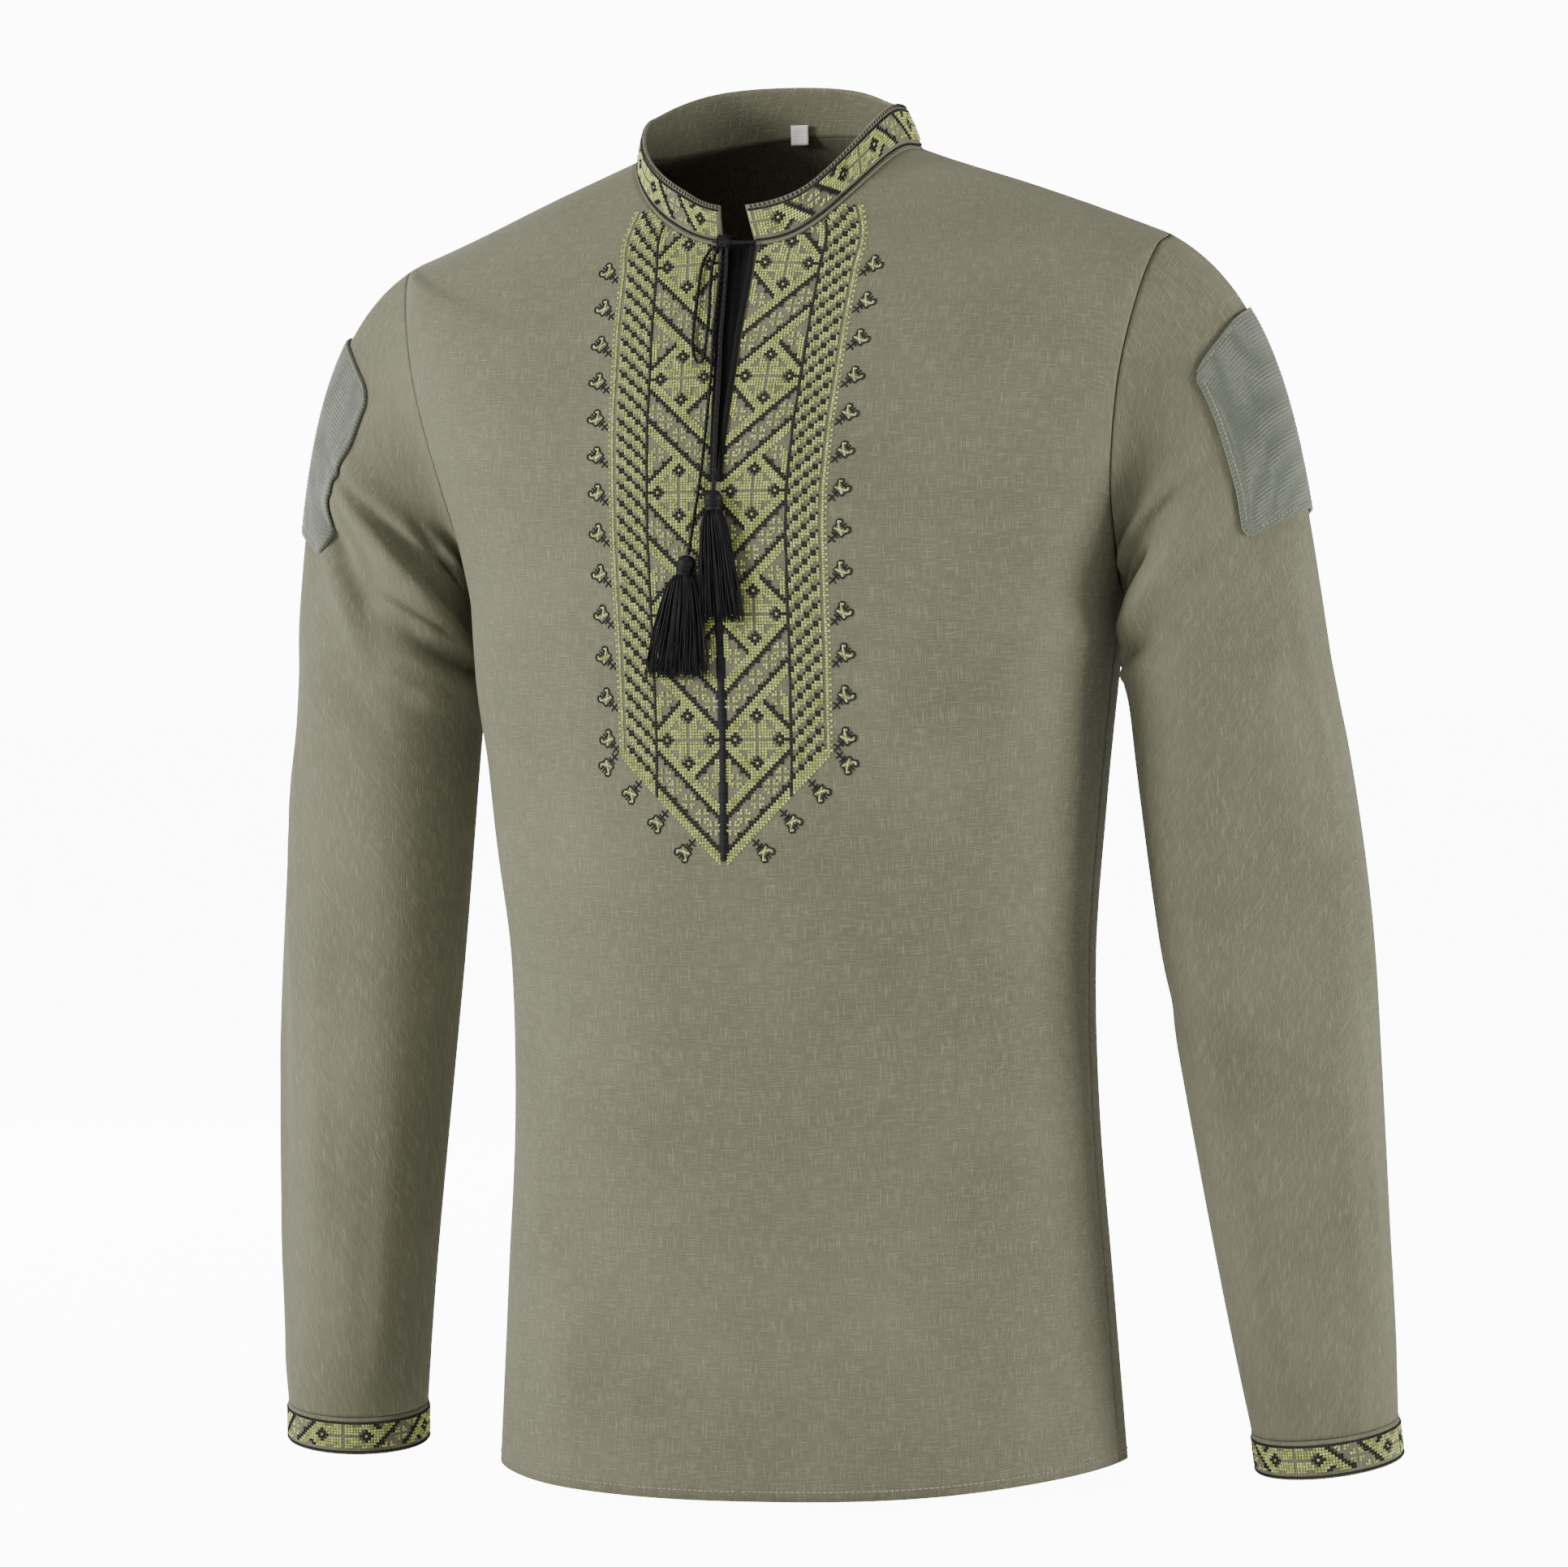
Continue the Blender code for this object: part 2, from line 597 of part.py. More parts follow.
def on_grid(points, normals, across, i, j):
    """The place and normal between the grid's vertices at column i and row j."""
    a, b = int(i // 1), int(j // 1)
    f, g = i - a, j - b
    spots = [(0, 0, (1 - f) * (1 - g)), (1, 0, f * (1 - g)), (0, 1, (1 - f) * g), (1, 1, f * g)]
    place, normal = Vector(), Vector()
    for di, dj, weight in spots:
        if weight > 0:
            k = (b + dj) * across + (a + di) % across
            place += points[k] * weight
            normal += normals[k] * weight
    return place, normal.normalized()


def pad_mesh(points, normals):
    """A hook and loop pad laid on a sleeve's outer side, with its corners taken off."""
    low, high = (TURNS * turn / 360.0 for turn in PAD_TURNS)
    columns = [c - 100 * TURNS for c in grid_lines(low + 100 * TURNS, high + 100 * TURNS)]
    rows = grid_lines(*PAD_STEPS)
    out = CLOTH / 2 + PAD_GAP + PAD_CLOTH / 2

    def place(i, j):
        c, r = columns[i], rows[j]
        if i in (0, len(columns) - 1) and j in (0, len(rows) - 1):
            c += 0.25 * (1 if i == 0 else -1)
            r += 0.25 * (1 if j == 0 else -1)
        spot, normal = on_grid(points, normals, TURNS, c, r)
        return spot + normal * out

    return grid_mesh(len(columns), len(rows), place)


def neck_columns():
    """The neck seam from the slit's right edge round the back to its left edge."""
    n = SIDE_STEPS
    columns = [("front", -1, i / n) for i in range(n + 1)]
    columns += [("back", -1, i / n) for i in range(n, -1, -1)][1:]
    columns += [("back", 1, i / n) for i in range(1, n + 1)]
    columns += [("front", 1, i / n) for i in range(n, -1, -1)][1:]
    return columns


def collar_mesh():
    columns = neck_columns()
    count = len(columns)

    def place(i, j):
        which, side, a = columns[i]
        base = panel_point(which, side, a, NECK_ROW)
        share = 4 * (i / (count - 1)) * (1 - i / (count - 1))
        tall = COLLAR_FRONT_HEIGHT + (COLLAR_BACK_HEIGHT - COLLAR_FRONT_HEIGHT) * share
        tall += sum(change * float(np.exp(-((i - at) / wide) ** 2)) for at, wide, change in COLLAR_TRIMS)
        inward = Vector((-base.x, -base.y, 0)).normalized()
        near_end = 1 - smoothstep(0, 3, min(i, count - 1 - i))
        lift = 0.00115 + tall * j / 3
        lean_in = COLLAR_LEAN + COLLAR_LEFT_LEAN * float(np.exp(-((i - 24.0) / 4.5) ** 2))
        lean = lean_in * (j / 3) ** 1.4
        point = base + Vector((0, 0, lift)) + inward * lean
        end_lean = COLLAR_END_LEANS[0 if side < 0 else 1] * j / 3
        point.x += near_end * (side * COLLAR_END_GAP + end_lean)
        return point

    return grid_mesh(count, 4, place)


def cuff_mesh(side_name):
    side = 1 if side_name == "left" else -1

    def place(i, j):
        point, down = arm_ring(side, 1.0, 2 * pi * i / TURNS)
        return point + down * (0.0004 + CUFF_HEIGHT * j / 2)

    return grid_mesh(TURNS, 3, place, True)


def binding_mesh(side):
    """A narrow tape along one edge of the slit, laid on the front."""
    ts = [FRONT_TS[SLIT_STEP] * 0.5 + FRONT_TS[SLIT_STEP + 1] * 0.5] + FRONT_TS[SLIT_STEP + 1:]
    out = CLOTH / 2 + LAY_GAP + 0.0004

    def place(i, j):
        t = ts[j]
        near = panel_point("front", side, 0.0, t, out)
        far = panel_point("front", side, 1.0 / SIDE_STEPS, t, out)
        wide = (far - near).length
        return near.lerp(far, (0.0004 + 0.0026 * i) / wide)

    return grid_mesh(2, len(ts), place)


def facing_mesh():
    """A black facing behind the slit, level with the neck seam at its top."""
    ts = FRONT_TS[SLIT_STEP - 1:]
    out = -(CLOTH / 2 + LAY_GAP + FACING_CLOTH / 2)

    def place(i, j):
        wide = slit_half(ts[j]) + 0.008
        return front_at_x(middle_x(ts[j]) + (-1, -0.5, 0, 0.5, 1)[i] * wide, ts[j], out)

    return grid_mesh(5, len(ts), place)


def tag_mesh():
    """A blank size tag hanging inside the back of the neck."""

    def place(i, j):
        x = TAG_X + TAG_WIDE * (i / 2 - 0.5)
        return Vector((x, TAG_Y, TAG_TOP - TAG_TALL * j / 2))

    return grid_mesh(3, 3, place)


def front_spot(x, z, off):
    """The point off the front's middle surface at x and z."""
    low, high = 0.0, float(NECK_ROW)
    for _ in range(24):
        middle = (low + high) / 2
        if front_at_x(x, middle).z < z:
            low = middle
        else:
            high = middle
    return front_at_x(x, low, off)


def smooth_route(rows, spacing):
    """Points evenly spaced along a smooth curve through a route's rows."""
    fine = [curve(rows, t) for t in np.linspace(0, len(rows) - 1, 12 * len(rows))]
    spots = [front_spot(row[0], row[1], row[2]) for row in fine]
    run = [0.0]
    for a, b in zip(spots, spots[1:]):
        run.append(run[-1] + (b - a).length)
    count = max(int(run[-1] / spacing), 3)
    wanted = np.linspace(0, run[-1], count + 1)
    return [Vector([np.interp(w, run, [p[k] for p in spots]) for k in range(3)]) for w in wanted]


def add_cord(name, points):
    """A round cord: a curve with a bevel and filled caps."""
    line = bpy.data.curves.new(name, "CURVE")
    line.dimensions = "3D"
    line.bevel_depth = CORD_DIAMETER / 2
    line.bevel_resolution = 2
    line.use_fill_caps = True
    spline = line.splines.new("POLY")
    spline.points.add(len(points) - 1)
    for k, point in enumerate(points):
        spline.points[k].co = (*point, 1)
    spline.use_smooth = True
    line.materials.append(BLACK)
    obj = bpy.data.objects.new(name, line)
    bpy.context.scene.collection.objects.link(obj)
    return obj


def knot_mesh():
    """The bow's knot, with the two ends that come out of the neck seam beside it."""
    fine = [curve(KNOT_ROUTE, t) for t in np.linspace(0, len(KNOT_ROUTE) - 1, 15)]
    spots = [front_spot(row[0], row[1], row[2]) for row in fine]
    count = 10

    def place(i, j):
        along = (spots[min(j + 1, len(spots) - 1)] - spots[max(j - 1, 0)]).normalized()
        across = along.cross(Vector((0, 0, 1))).normalized()
        up = across.cross(along)
        angle = -2 * pi * i / count
        return spots[j] + (across * cos(angle) * 0.9 + up * sin(angle) * 1.15) * float(fine[j][3])

    bm = grid_mesh(count, len(spots), place, True)
    bm.verts.ensure_lookup_table()
    bm.faces.new([bm.verts[i] for i in range(count)][::-1])
    bm.faces.new([bm.verts[(len(spots) - 1) * count + i] for i in range(count)])
    bmesh.ops.recalc_face_normals(bm, faces=bm.faces)
    return bm


def tassel_mesh(which):
    """A tassel: a bound head whose foot is drawn out into separate strands."""
    top_x, top_z, foot_x, foot_z, end_x, end_z, half_wide = TASSELS[which]
    columns, rows = STRANDS_ACROSS, STRANDS_DEEP

    def disc(u, v):
        long_side = max(abs(u), abs(v))
        size = long_side / max((u * u + v * v) ** 0.5, 1e-9)
        return u * size, v * size

    def head(u, v, share, radius):
        x = top_x + (foot_x - top_x) * share + u * radius
        z = top_z + (foot_z - top_z) * share
        point = front_spot(x * 0.2 + 0.8 * (top_x + (foot_x - top_x) * share), z, TASSEL_OFF)
        point.x += (u * radius) * 0.8
        point.y -= v * radius * 0.85
        return point

    bm = bmesh.new()
    grid = []
    for j in range(rows + 1):
        line = []
        for i in range(columns + 1):
            u, v = disc(2 * i / columns - 1, 2 * j / rows - 1)
            line.append(bm.verts.new(head(u, v, 1.0, TASSEL_HEAD * 0.86)))
        grid.append(line)
    cells = []
    for j in range(rows):
        for i in range(columns):
            quad = (grid[j][i], grid[j][i + 1], grid[j + 1][i + 1], grid[j + 1][i])
            cells.append((bm.faces.new(quad), 2 * (i + 0.5) / columns - 1, 2 * (j + 0.5) / rows - 1))
    rim = [(i, 0) for i in range(columns)] + [(columns, j) for j in range(rows)]
    rim += [(i, rows) for i in range(columns, 0, -1)] + [(0, j) for j in range(rows, 0, -1)]
    below = [grid[j][i] for i, j in rim]
    for share, radius in ((0.75, 1.0), (0.4, 1.0), (0.12, 0.78), (0.0, 0.34)):
        above = []
        for i, j in rim:
            u, v = disc(2 * i / columns - 1, 2 * j / rows - 1)
            above.append(bm.verts.new(head(u, v, share, TASSEL_HEAD * radius)))
        for k in range(len(rim)):
            n = (k + 1) % len(rim)
            bm.faces.new((below[k], above[k], above[n], below[n]))
        below = above
    bm.faces.new(below)
    bmesh.ops.recalc_face_normals(bm, faces=bm.faces)
    for k, (face, u, v) in enumerate(cells):
        bmesh.ops.inset_individual(bm, faces=[face], thickness=0.00030)
        wobble = sin(k * 12.9898) * 0.5 + sin(k * 4.7) * 0.5
        length = 1.0 + 0.045 * wobble
        corners = list(face.verts)
        middle = sum((c.co for c in corners), Vector()) / 4
        shape = [c.co - middle for c in corners]
        for step in range(1, STRAND_PARTS + 1):
            share = step / STRAND_PARTS
            moved = bmesh.ops.extrude_discrete_faces(bm, faces=[face])
            face = moved["faces"][0]
            spread = TASSEL_HEAD * 0.8 + (half_wide - TASSEL_HEAD * 0.8) * share ** 0.8
            z = foot_z + (end_z - foot_z) * share * length
            x = foot_x + (end_x - foot_x) * share + u * spread
            depth = TASSEL_HEAD * 0.95 * (1 - 0.1 * share)
            centre = front_spot(x, z, TASSEL_OFF - 0.0006 * share)
            centre.y -= v * depth * 0.85
            thin = 1.0 - 0.25 * share
            for corner, offset in zip(face.verts, shape):
                corner.co = centre + offset * thin
    bmesh.ops.recalc_face_normals(bm, faces=bm.faces)
    return bm


front = add_object("front", panel_mesh("front"), LINEN, CLOTH)
back = add_object("back", panel_mesh("back"), LINEN, CLOTH)
add_object("collar", collar_mesh(), BAND, COLLAR_CLOTH)
for side_name in ("left", "right"):
    sleeve = sleeve_mesh(side_name)
    sleeve.normal_update()
    grid_points = [v.co.copy() for v in sleeve.verts]
    grid_normals = [v.normal.copy() for v in sleeve.verts]
    add_object("sleeve_" + side_name, sleeve, LINEN, CLOTH)
    add_object("cuff_" + side_name, cuff_mesh(side_name), BAND, CUFF_CLOTH)
    add_object("arm_pad_" + side_name, pad_mesh(grid_points, grid_normals), PAD, PAD_CLOTH)
    side = 1 if side_name == "left" else -1
    add_object("slit_binding_" + side_name, binding_mesh(side), BLACK, 0.0008)
add_object("slit_facing", facing_mesh(), BLACK, FACING_CLOTH)
add_object("size_tag", tag_mesh(), WHITE, 0.0008)
add_object("bow_knot", knot_mesh(), BLACK)
add_cord("bow_loop", smooth_route(LOOP_ROUTE, 0.0050))
for which in ("left", "right"):
    add_cord("tie_end_" + which, smooth_route(TAIL_ROUTES[which], 0.0056))
    add_object("tassel_" + which, tassel_mesh(which), BLACK)
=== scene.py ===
from math import cos, pi, radians, sin, tau

import bmesh
import bpy
import numpy as np
from mathutils import Matrix, Vector


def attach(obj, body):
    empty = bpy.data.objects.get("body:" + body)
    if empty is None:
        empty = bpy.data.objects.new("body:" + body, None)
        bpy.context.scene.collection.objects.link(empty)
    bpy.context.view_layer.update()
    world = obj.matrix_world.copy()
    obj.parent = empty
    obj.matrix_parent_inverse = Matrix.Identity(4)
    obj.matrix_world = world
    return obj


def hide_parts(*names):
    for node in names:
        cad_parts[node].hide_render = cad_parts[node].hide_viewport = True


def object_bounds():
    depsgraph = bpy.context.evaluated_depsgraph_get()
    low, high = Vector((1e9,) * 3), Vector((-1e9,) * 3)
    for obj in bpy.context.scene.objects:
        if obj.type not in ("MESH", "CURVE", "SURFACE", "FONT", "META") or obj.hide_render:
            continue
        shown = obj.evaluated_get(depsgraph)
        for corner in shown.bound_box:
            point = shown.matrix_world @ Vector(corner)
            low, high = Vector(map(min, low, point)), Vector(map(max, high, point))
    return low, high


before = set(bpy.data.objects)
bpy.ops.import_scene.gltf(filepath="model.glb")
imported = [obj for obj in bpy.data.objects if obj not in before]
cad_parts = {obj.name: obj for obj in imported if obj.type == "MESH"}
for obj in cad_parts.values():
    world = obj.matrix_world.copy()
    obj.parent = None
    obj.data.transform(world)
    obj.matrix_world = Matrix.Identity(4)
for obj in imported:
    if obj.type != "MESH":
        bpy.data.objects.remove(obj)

# The shirt is dressed in metres, +Z up, front to -Y and the wearer's left to +X.
CAD_BOX = [[*corner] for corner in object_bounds()]
RANDOM = np.random.default_rng(7)

# Wall thicknesses and gaps of the cut pieces
CLOTH = 0.0014
COLLAR_CLOTH = 0.0020
CUFF_CLOTH = 0.0020
PAD_CLOTH = 0.0016
FACING_CLOTH = 0.0010
TAPE_CLOTH = 0.0008
SEAM = 0.0003
LAY_GAP = 0.0005
PAD_GAP = 0.0009

# Each row is one level of a panel: the x, y and z of its side edge, the y and z of its
# centre line, and how far round the figure the row wraps, in degrees.
FRONT_ROWS = (
    (0.173, 0.006, -0.706, -0.115, -0.716, 90), (0.1668, 0.006, -0.61, -0.111, -0.614, 90),
    (0.1615, 0.005, -0.52, -0.109, -0.52, 90), (0.161, 0.005, -0.435, -0.113, -0.44, 90),
    (0.1675, 0.005, -0.36, -0.116, -0.37, 90), (0.175, 0.005, -0.294, -0.114, -0.306, 90),
    (0.183, 0.006, -0.238, -0.111, -0.25, 88), (0.186, -0.012, -0.217, -0.108, -0.218, 82),
    (0.19, -0.034, -0.18, -0.104, -0.186, 72), (0.199, -0.047, -0.128, -0.098, -0.15, 68),
    (0.207, -0.04, -0.088, -0.0915, -0.127, 72), (0.213, -0.022, -0.06, -0.087, -0.111, 78),
    (0.215, 0.002, -0.05, -0.084, -0.098, 84), (0.178, 0.003, -0.035, -0.078, -0.081, 88),
    (0.128, 0.002, -0.0155, -0.073, -0.065, 90), (0.075, 0.0, 0.003, -0.069, -0.0505, 90),
)
BACK_ROWS = (
    (0.173, 0.006, -0.706, 0.112, -0.716, 90), (0.1668, 0.006, -0.61, 0.108, -0.614, 90),
    (0.1615, 0.005, -0.52, 0.102, -0.52, 90), (0.161, 0.005, -0.435, 0.101, -0.435, 90),
    (0.1675, 0.005, -0.36, 0.108, -0.355, 90), (0.175, 0.005, -0.294, 0.116, -0.285, 90),
    (0.183, 0.006, -0.238, 0.121, -0.22, 88), (0.187, 0.028, -0.217, 0.122, -0.188, 82),
    (0.193, 0.05, -0.18, 0.12, -0.15, 72), (0.201, 0.057, -0.128, 0.114, -0.112, 68),
    (0.208, 0.046, -0.088, 0.1065, -0.081, 72), (0.213, 0.026, -0.06, 0.0995, -0.06, 78),
    (0.215, 0.002, -0.05, 0.093, -0.042, 84), (0.178, 0.003, -0.035, 0.082, -0.019, 88),
    (0.128, 0.002, -0.0155, 0.073, -0.001, 90), (0.075, 0.0, 0.003, 0.065, 0.0125, 90),
)
ROWS = {"front": FRONT_ROWS, "back": BACK_ROWS}
ROUNDNESS = {"front": 2.35, "back": 2.20}
FACING = {"front": -1, "back": 1}
SIDES = ((-1, "right"), (1, "left"))
UNDERARM_ROW = 6
SHOULDER_ROW = 12
NECK_ROW = 15
HEM_STEPS = 11
ARMHOLE_STEPS = 12
SHOULDER_STEPS = 5
SLIT_STEP = 15
SLIT_HALF_TOP = 0.0066
SLIT_SPREAD = 1.2
# The middle line of the front hangs a little off centre: its x at rising heights
MIDDLE_LINE = (
    (-0.3000, 0.0000), (-0.2650, -0.0014), (-0.2450, -0.0027), (-0.2050, -0.0052), (-0.1800, -0.0055),
    (-0.1360, -0.0045), (-0.1060, -0.0040), (-0.0626, -0.0024), (-0.0500, -0.0024),
)
NECK_FALL = 0.048
NECK_SHIFT = -0.0035
LEFT_SHOULDER_RISE = 0.0045

# Sleeve sections down the arm: centre, half sizes along and across the flat of the
# sleeve, and how far the flat is turned back, in degrees.
ARM_ROWS = (
    (0.2415, 0.008, -0.28, 0.0542, 0.049, 10), (0.2475, 0.0105, -0.33, 0.0558, 0.046, 12),
    (0.2572, 0.014, -0.42, 0.0556, 0.042, 13), (0.2648, 0.017, -0.5, 0.0515, 0.041, 13),
    (0.273, 0.0215, -0.59, 0.0457, 0.04, 13), (0.2785, 0.027, -0.65, 0.0418, 0.039, 13),
    (0.281, 0.0315, -0.685, 0.0388, 0.0378, 13),
)
CAP_STEPS = 9
ARM_STEPS = 11
SLEEVE_ROWS = CAP_STEPS + ARM_STEPS
TURNS = 2 * ARMHOLE_STEPS
CUFF_HEIGHT = 0.021
CUFF_GAP = 0.0004
# A degree round the arm and the whole sleeve, in metres of cloth, for the folds
DEGREE = 0.00087
SLEEVE_LENGTH = 0.60

# The large folds, which the solids have as well: where each starts and ends, its width
# and its height. On the body, places are x and z; on a sleeve, degrees round the arm (0
# outside, 90 front, 180 inside) and share of its length.
SLEEVE_FOLDS = {
    "left": (
        (60, 0.25, 168, 0.33, 0.014, 0.0055), (75, 0.36, 165, 0.39, 0.013, -0.005),
        (95, 0.33, 172, 0.44, 0.012, 0.004), (300, 0.24, 200, 0.33, 0.015, 0.005),
        (290, 0.34, 195, 0.41, 0.014, -0.004), (30, 0.5, 60, 0.92, 0.014, -0.003),
        (120, 0.55, 110, 0.9, 0.016, 0.003), (210, 0.48, 240, 0.88, 0.016, -0.003),
        (330, 0.55, 315, 0.9, 0.016, 0.0025),
    ),
    "right": (
        (58, 0.22, 166, 0.34, 0.012, 0.006), (66, 0.28, 160, 0.4, 0.012, -0.0055),
        (80, 0.3, 170, 0.46, 0.012, 0.005), (300, 0.24, 200, 0.34, 0.015, 0.005),
        (285, 0.34, 195, 0.42, 0.014, -0.004), (20, 0.45, 45, 0.9, 0.015, -0.003),
        (105, 0.5, 125, 0.92, 0.016, 0.003), (215, 0.5, 235, 0.9, 0.016, -0.003),
        (335, 0.58, 320, 0.92, 0.016, 0.0025),
    ),
}
BODY_FOLDS = {
    "front": (
        (0.15, -0.255, 0.125, -0.42, 0.018, 0.003), (-0.15, -0.255, -0.128, -0.4, 0.018, 0.0035),
        (0.12, -0.33, 0.118, -0.6, 0.024, -0.0025), (-0.115, -0.3, -0.122, -0.56, 0.024, -0.0025),
        (0.095, -0.56, 0.105, -0.715, 0.022, 0.0035), (-0.1, -0.59, -0.112, -0.715, 0.02, 0.0035),
        (0.02, -0.61, 0.024, -0.715, 0.026, -0.0025),
    ),
    "back": (
        (0.03, -0.18, 0.045, -0.48, 0.02, 0.004), (-0.03, -0.18, -0.045, -0.48, 0.02, 0.004),
        (0.11, -0.25, 0.095, -0.52, 0.02, -0.003), (-0.11, -0.25, -0.095, -0.52, 0.02, -0.003),
        (0.07, -0.52, 0.085, -0.715, 0.024, 0.004), (-0.07, -0.52, -0.085, -0.715, 0.024, 0.004),
        (0.0, -0.5, 0.0, -0.715, 0.024, -0.003),
    ),
}
# Creases that only the cloth shells have: start, end, a bow that bends the crease
# sideways, a slope on its left and on its right, so that one side can be soft and the
# other sharp, and its height.
BODY_CREASES = {
    "front": (
        (0.163, -0.285, 0.118, -0.352, 0.006, 0.006, 0.009, 0.0016),
        (0.158, -0.262, 0.092, -0.29, -0.005, 0.006, 0.01, 0.0014),
        (-0.166, -0.27, -0.11, -0.33, 0.006, 0.007, 0.005, 0.0018),
        (-0.16, -0.3, -0.128, -0.372, 0.004, 0.005, 0.008, -0.0014),
        (0.07, -0.56, 0.128, -0.577, 0.003, 0.0025, 0.004, 0.0008),
        (0.058, -0.59, 0.11, -0.612, 0.004, 0.003, 0.0045, -0.0007),
        (-0.128, -0.5, -0.121, -0.585, 0.003, 0.0035, 0.0035, 0.001),
        (-0.134, -0.42, -0.126, -0.52, -0.004, 0.007, 0.005, -0.0012),
        (-0.14, -0.6, -0.128, -0.69, 0.004, 0.006, 0.007, 0.0014),
        (0.12, -0.42, 0.126, -0.56, 0.005, 0.006, 0.008, 0.0012),
        (0.136, -0.59, 0.148, -0.7, 0.004, 0.006, 0.009, 0.0016),
        (-0.06, -0.64, -0.055, -0.712, 0.002, 0.006, 0.006, 0.001),
        (0.05, -0.65, 0.056, -0.712, 0.002, 0.007, 0.006, 0.001),
        (0.185, -0.16, 0.13, -0.13, 0.006, 0.009, 0.012, -0.0012),
        (-0.186, -0.17, -0.128, -0.14, -0.006, 0.009, 0.012, -0.0012),
        (0.176, -0.215, 0.12, -0.205, 0.005, 0.008, 0.011, 0.0013),
        (-0.178, -0.215, -0.118, -0.21, -0.004, 0.008, 0.011, 0.0012),
    ),
    "back": (
        (0.15, -0.27, 0.08, -0.33, 0.008, 0.007, 0.01, 0.0022),
        (-0.15, -0.275, -0.088, -0.345, -0.007, 0.01, 0.007, 0.0024),
        (0.135, -0.34, 0.06, -0.385, 0.006, 0.006, 0.009, -0.0018),
        (-0.14, -0.33, -0.07, -0.4, 0.006, 0.006, 0.009, 0.0018),
        (0.1, -0.42, 0.03, -0.445, -0.006, 0.005, 0.008, 0.0014),
        (-0.095, -0.45, -0.02, -0.47, 0.005, 0.005, 0.008, 0.0014),
        (0.12, -0.54, 0.128, -0.7, 0.005, 0.008, 0.008, 0.0018),
        (-0.118, -0.56, -0.13, -0.7, 0.004, 0.008, 0.008, 0.0018),
        (0.03, -0.6, 0.036, -0.712, 0.003, 0.007, 0.007, 0.0014),
        (-0.034, -0.59, -0.03, -0.712, 0.003, 0.007, 0.007, 0.0014),
        (0.06, -0.09, 0.15, -0.12, 0.008, 0.01, 0.012, -0.0014),
        (-0.06, -0.09, -0.15, -0.118, -0.008, 0.01, 0.012, -0.0014),
    ),
}
SLEEVE_CREASES = {
    "left": (
        (140, 0.374, 192, 0.38, 0.0, 0.01, 0.01, 0.0056),
        (60, 0.2, 170, 0.03, -0.036, 0.0038, 0.012, 0.006),
        (112, 0.245, 166, 0.215, 0.0, 0.006, 0.005, -0.004),
        (26, 0.35, 10, 0.62, 0.004, 0.0032, 0.0045, 0.0022),
        (12, 0.43, 3, 0.76, -0.004, 0.0034, 0.004, 0.0018),
        (18, 0.64, 6, 0.88, 0.003, 0.003, 0.0042, 0.0017),
        (64, 0.285, 150, 0.372, 0.01, 0.0035, 0.011, 0.005),
        (70, 0.315, 150, 0.4, 0.006, 0.009, 0.004, -0.0022),
        (98, 0.21, 160, 0.3, -0.006, 0.007, 0.006, 0.002),
        (40, 0.42, 75, 0.56, 0.006, 0.007, 0.006, 0.0018),
        (70, 0.5, 88, 0.72, -0.006, 0.006, 0.008, -0.0018),
        (20, 0.6, 34, 0.86, 0.005, 0.006, 0.007, 0.0016),
        (100, 0.72, 92, 0.94, 0.004, 0.006, 0.006, 0.0016),
        (52, 0.76, 60, 0.96, 0.003, 0.0055, 0.006, 0.0014),
        (350, 0.54, 2, 0.8, -0.005, 0.007, 0.006, -0.0014),
        (288, 0.3, 214, 0.42, 0.008, 0.004, 0.01, 0.0038),
        (282, 0.42, 232, 0.52, 0.006, 0.006, 0.008, 0.002),
        (250, 0.56, 262, 0.8, 0.006, 0.006, 0.008, 0.0018),
        (300, 0.7, 290, 0.93, 0.004, 0.006, 0.007, 0.0016),
    ),
    "right": (
        (30, 0.21, 158, 0.035, -0.046, 0.0034, 0.011, 0.0066),
        (33, 0.228, 165, 0.312, 0.012, 0.0095, 0.0034, 0.0056),
        (112, 0.19, 160, 0.15, 0.0, 0.006, 0.006, -0.006),
        (10, 0.52, 34, 0.67, 0.004, 0.003, 0.0042, 0.002),
        (24, 0.5, 50, 0.62, -0.003, 0.003, 0.004, 0.0016),
        (8, 0.64, 22, 0.9, 0.004, 0.0034, 0.0045, 0.0018),
        (44, 0.24, 92, 0.318, 0.006, 0.009, 0.003, 0.0045),
        (92, 0.318, 150, 0.345, 0.004, 0.009, 0.003, 0.005),
        (42, 0.262, 100, 0.372, 0.006, 0.004, 0.009, -0.0035),
        (40, 0.275, 96, 0.42, 0.004, 0.005, 0.006, 0.004),
        (96, 0.42, 150, 0.48, 0.003, 0.005, 0.007, 0.004),
        (60, 0.42, 110, 0.52, 0.006, 0.008, 0.006, -0.0025),
        (30, 0.56, 46, 0.8, 0.005, 0.006, 0.008, 0.0016),
        (72, 0.58, 84, 0.86, -0.005, 0.007, 0.006, 0.0018),
        (106, 0.7, 112, 0.95, 0.004, 0.006, 0.006, -0.0014),
        (350, 0.6, 358, 0.9, 0.004, 0.006, 0.007, 0.0016), (290, 0.3, 212, 0.43, 0.008, 0.004, 0.01, 0.004),
        (284, 0.43, 236, 0.54, 0.006, 0.006, 0.008, 0.002),
        (256, 0.58, 246, 0.82, 0.006, 0.006, 0.008, 0.0018),
        (306, 0.7, 296, 0.93, 0.004, 0.006, 0.007, 0.0016),
    ),
}

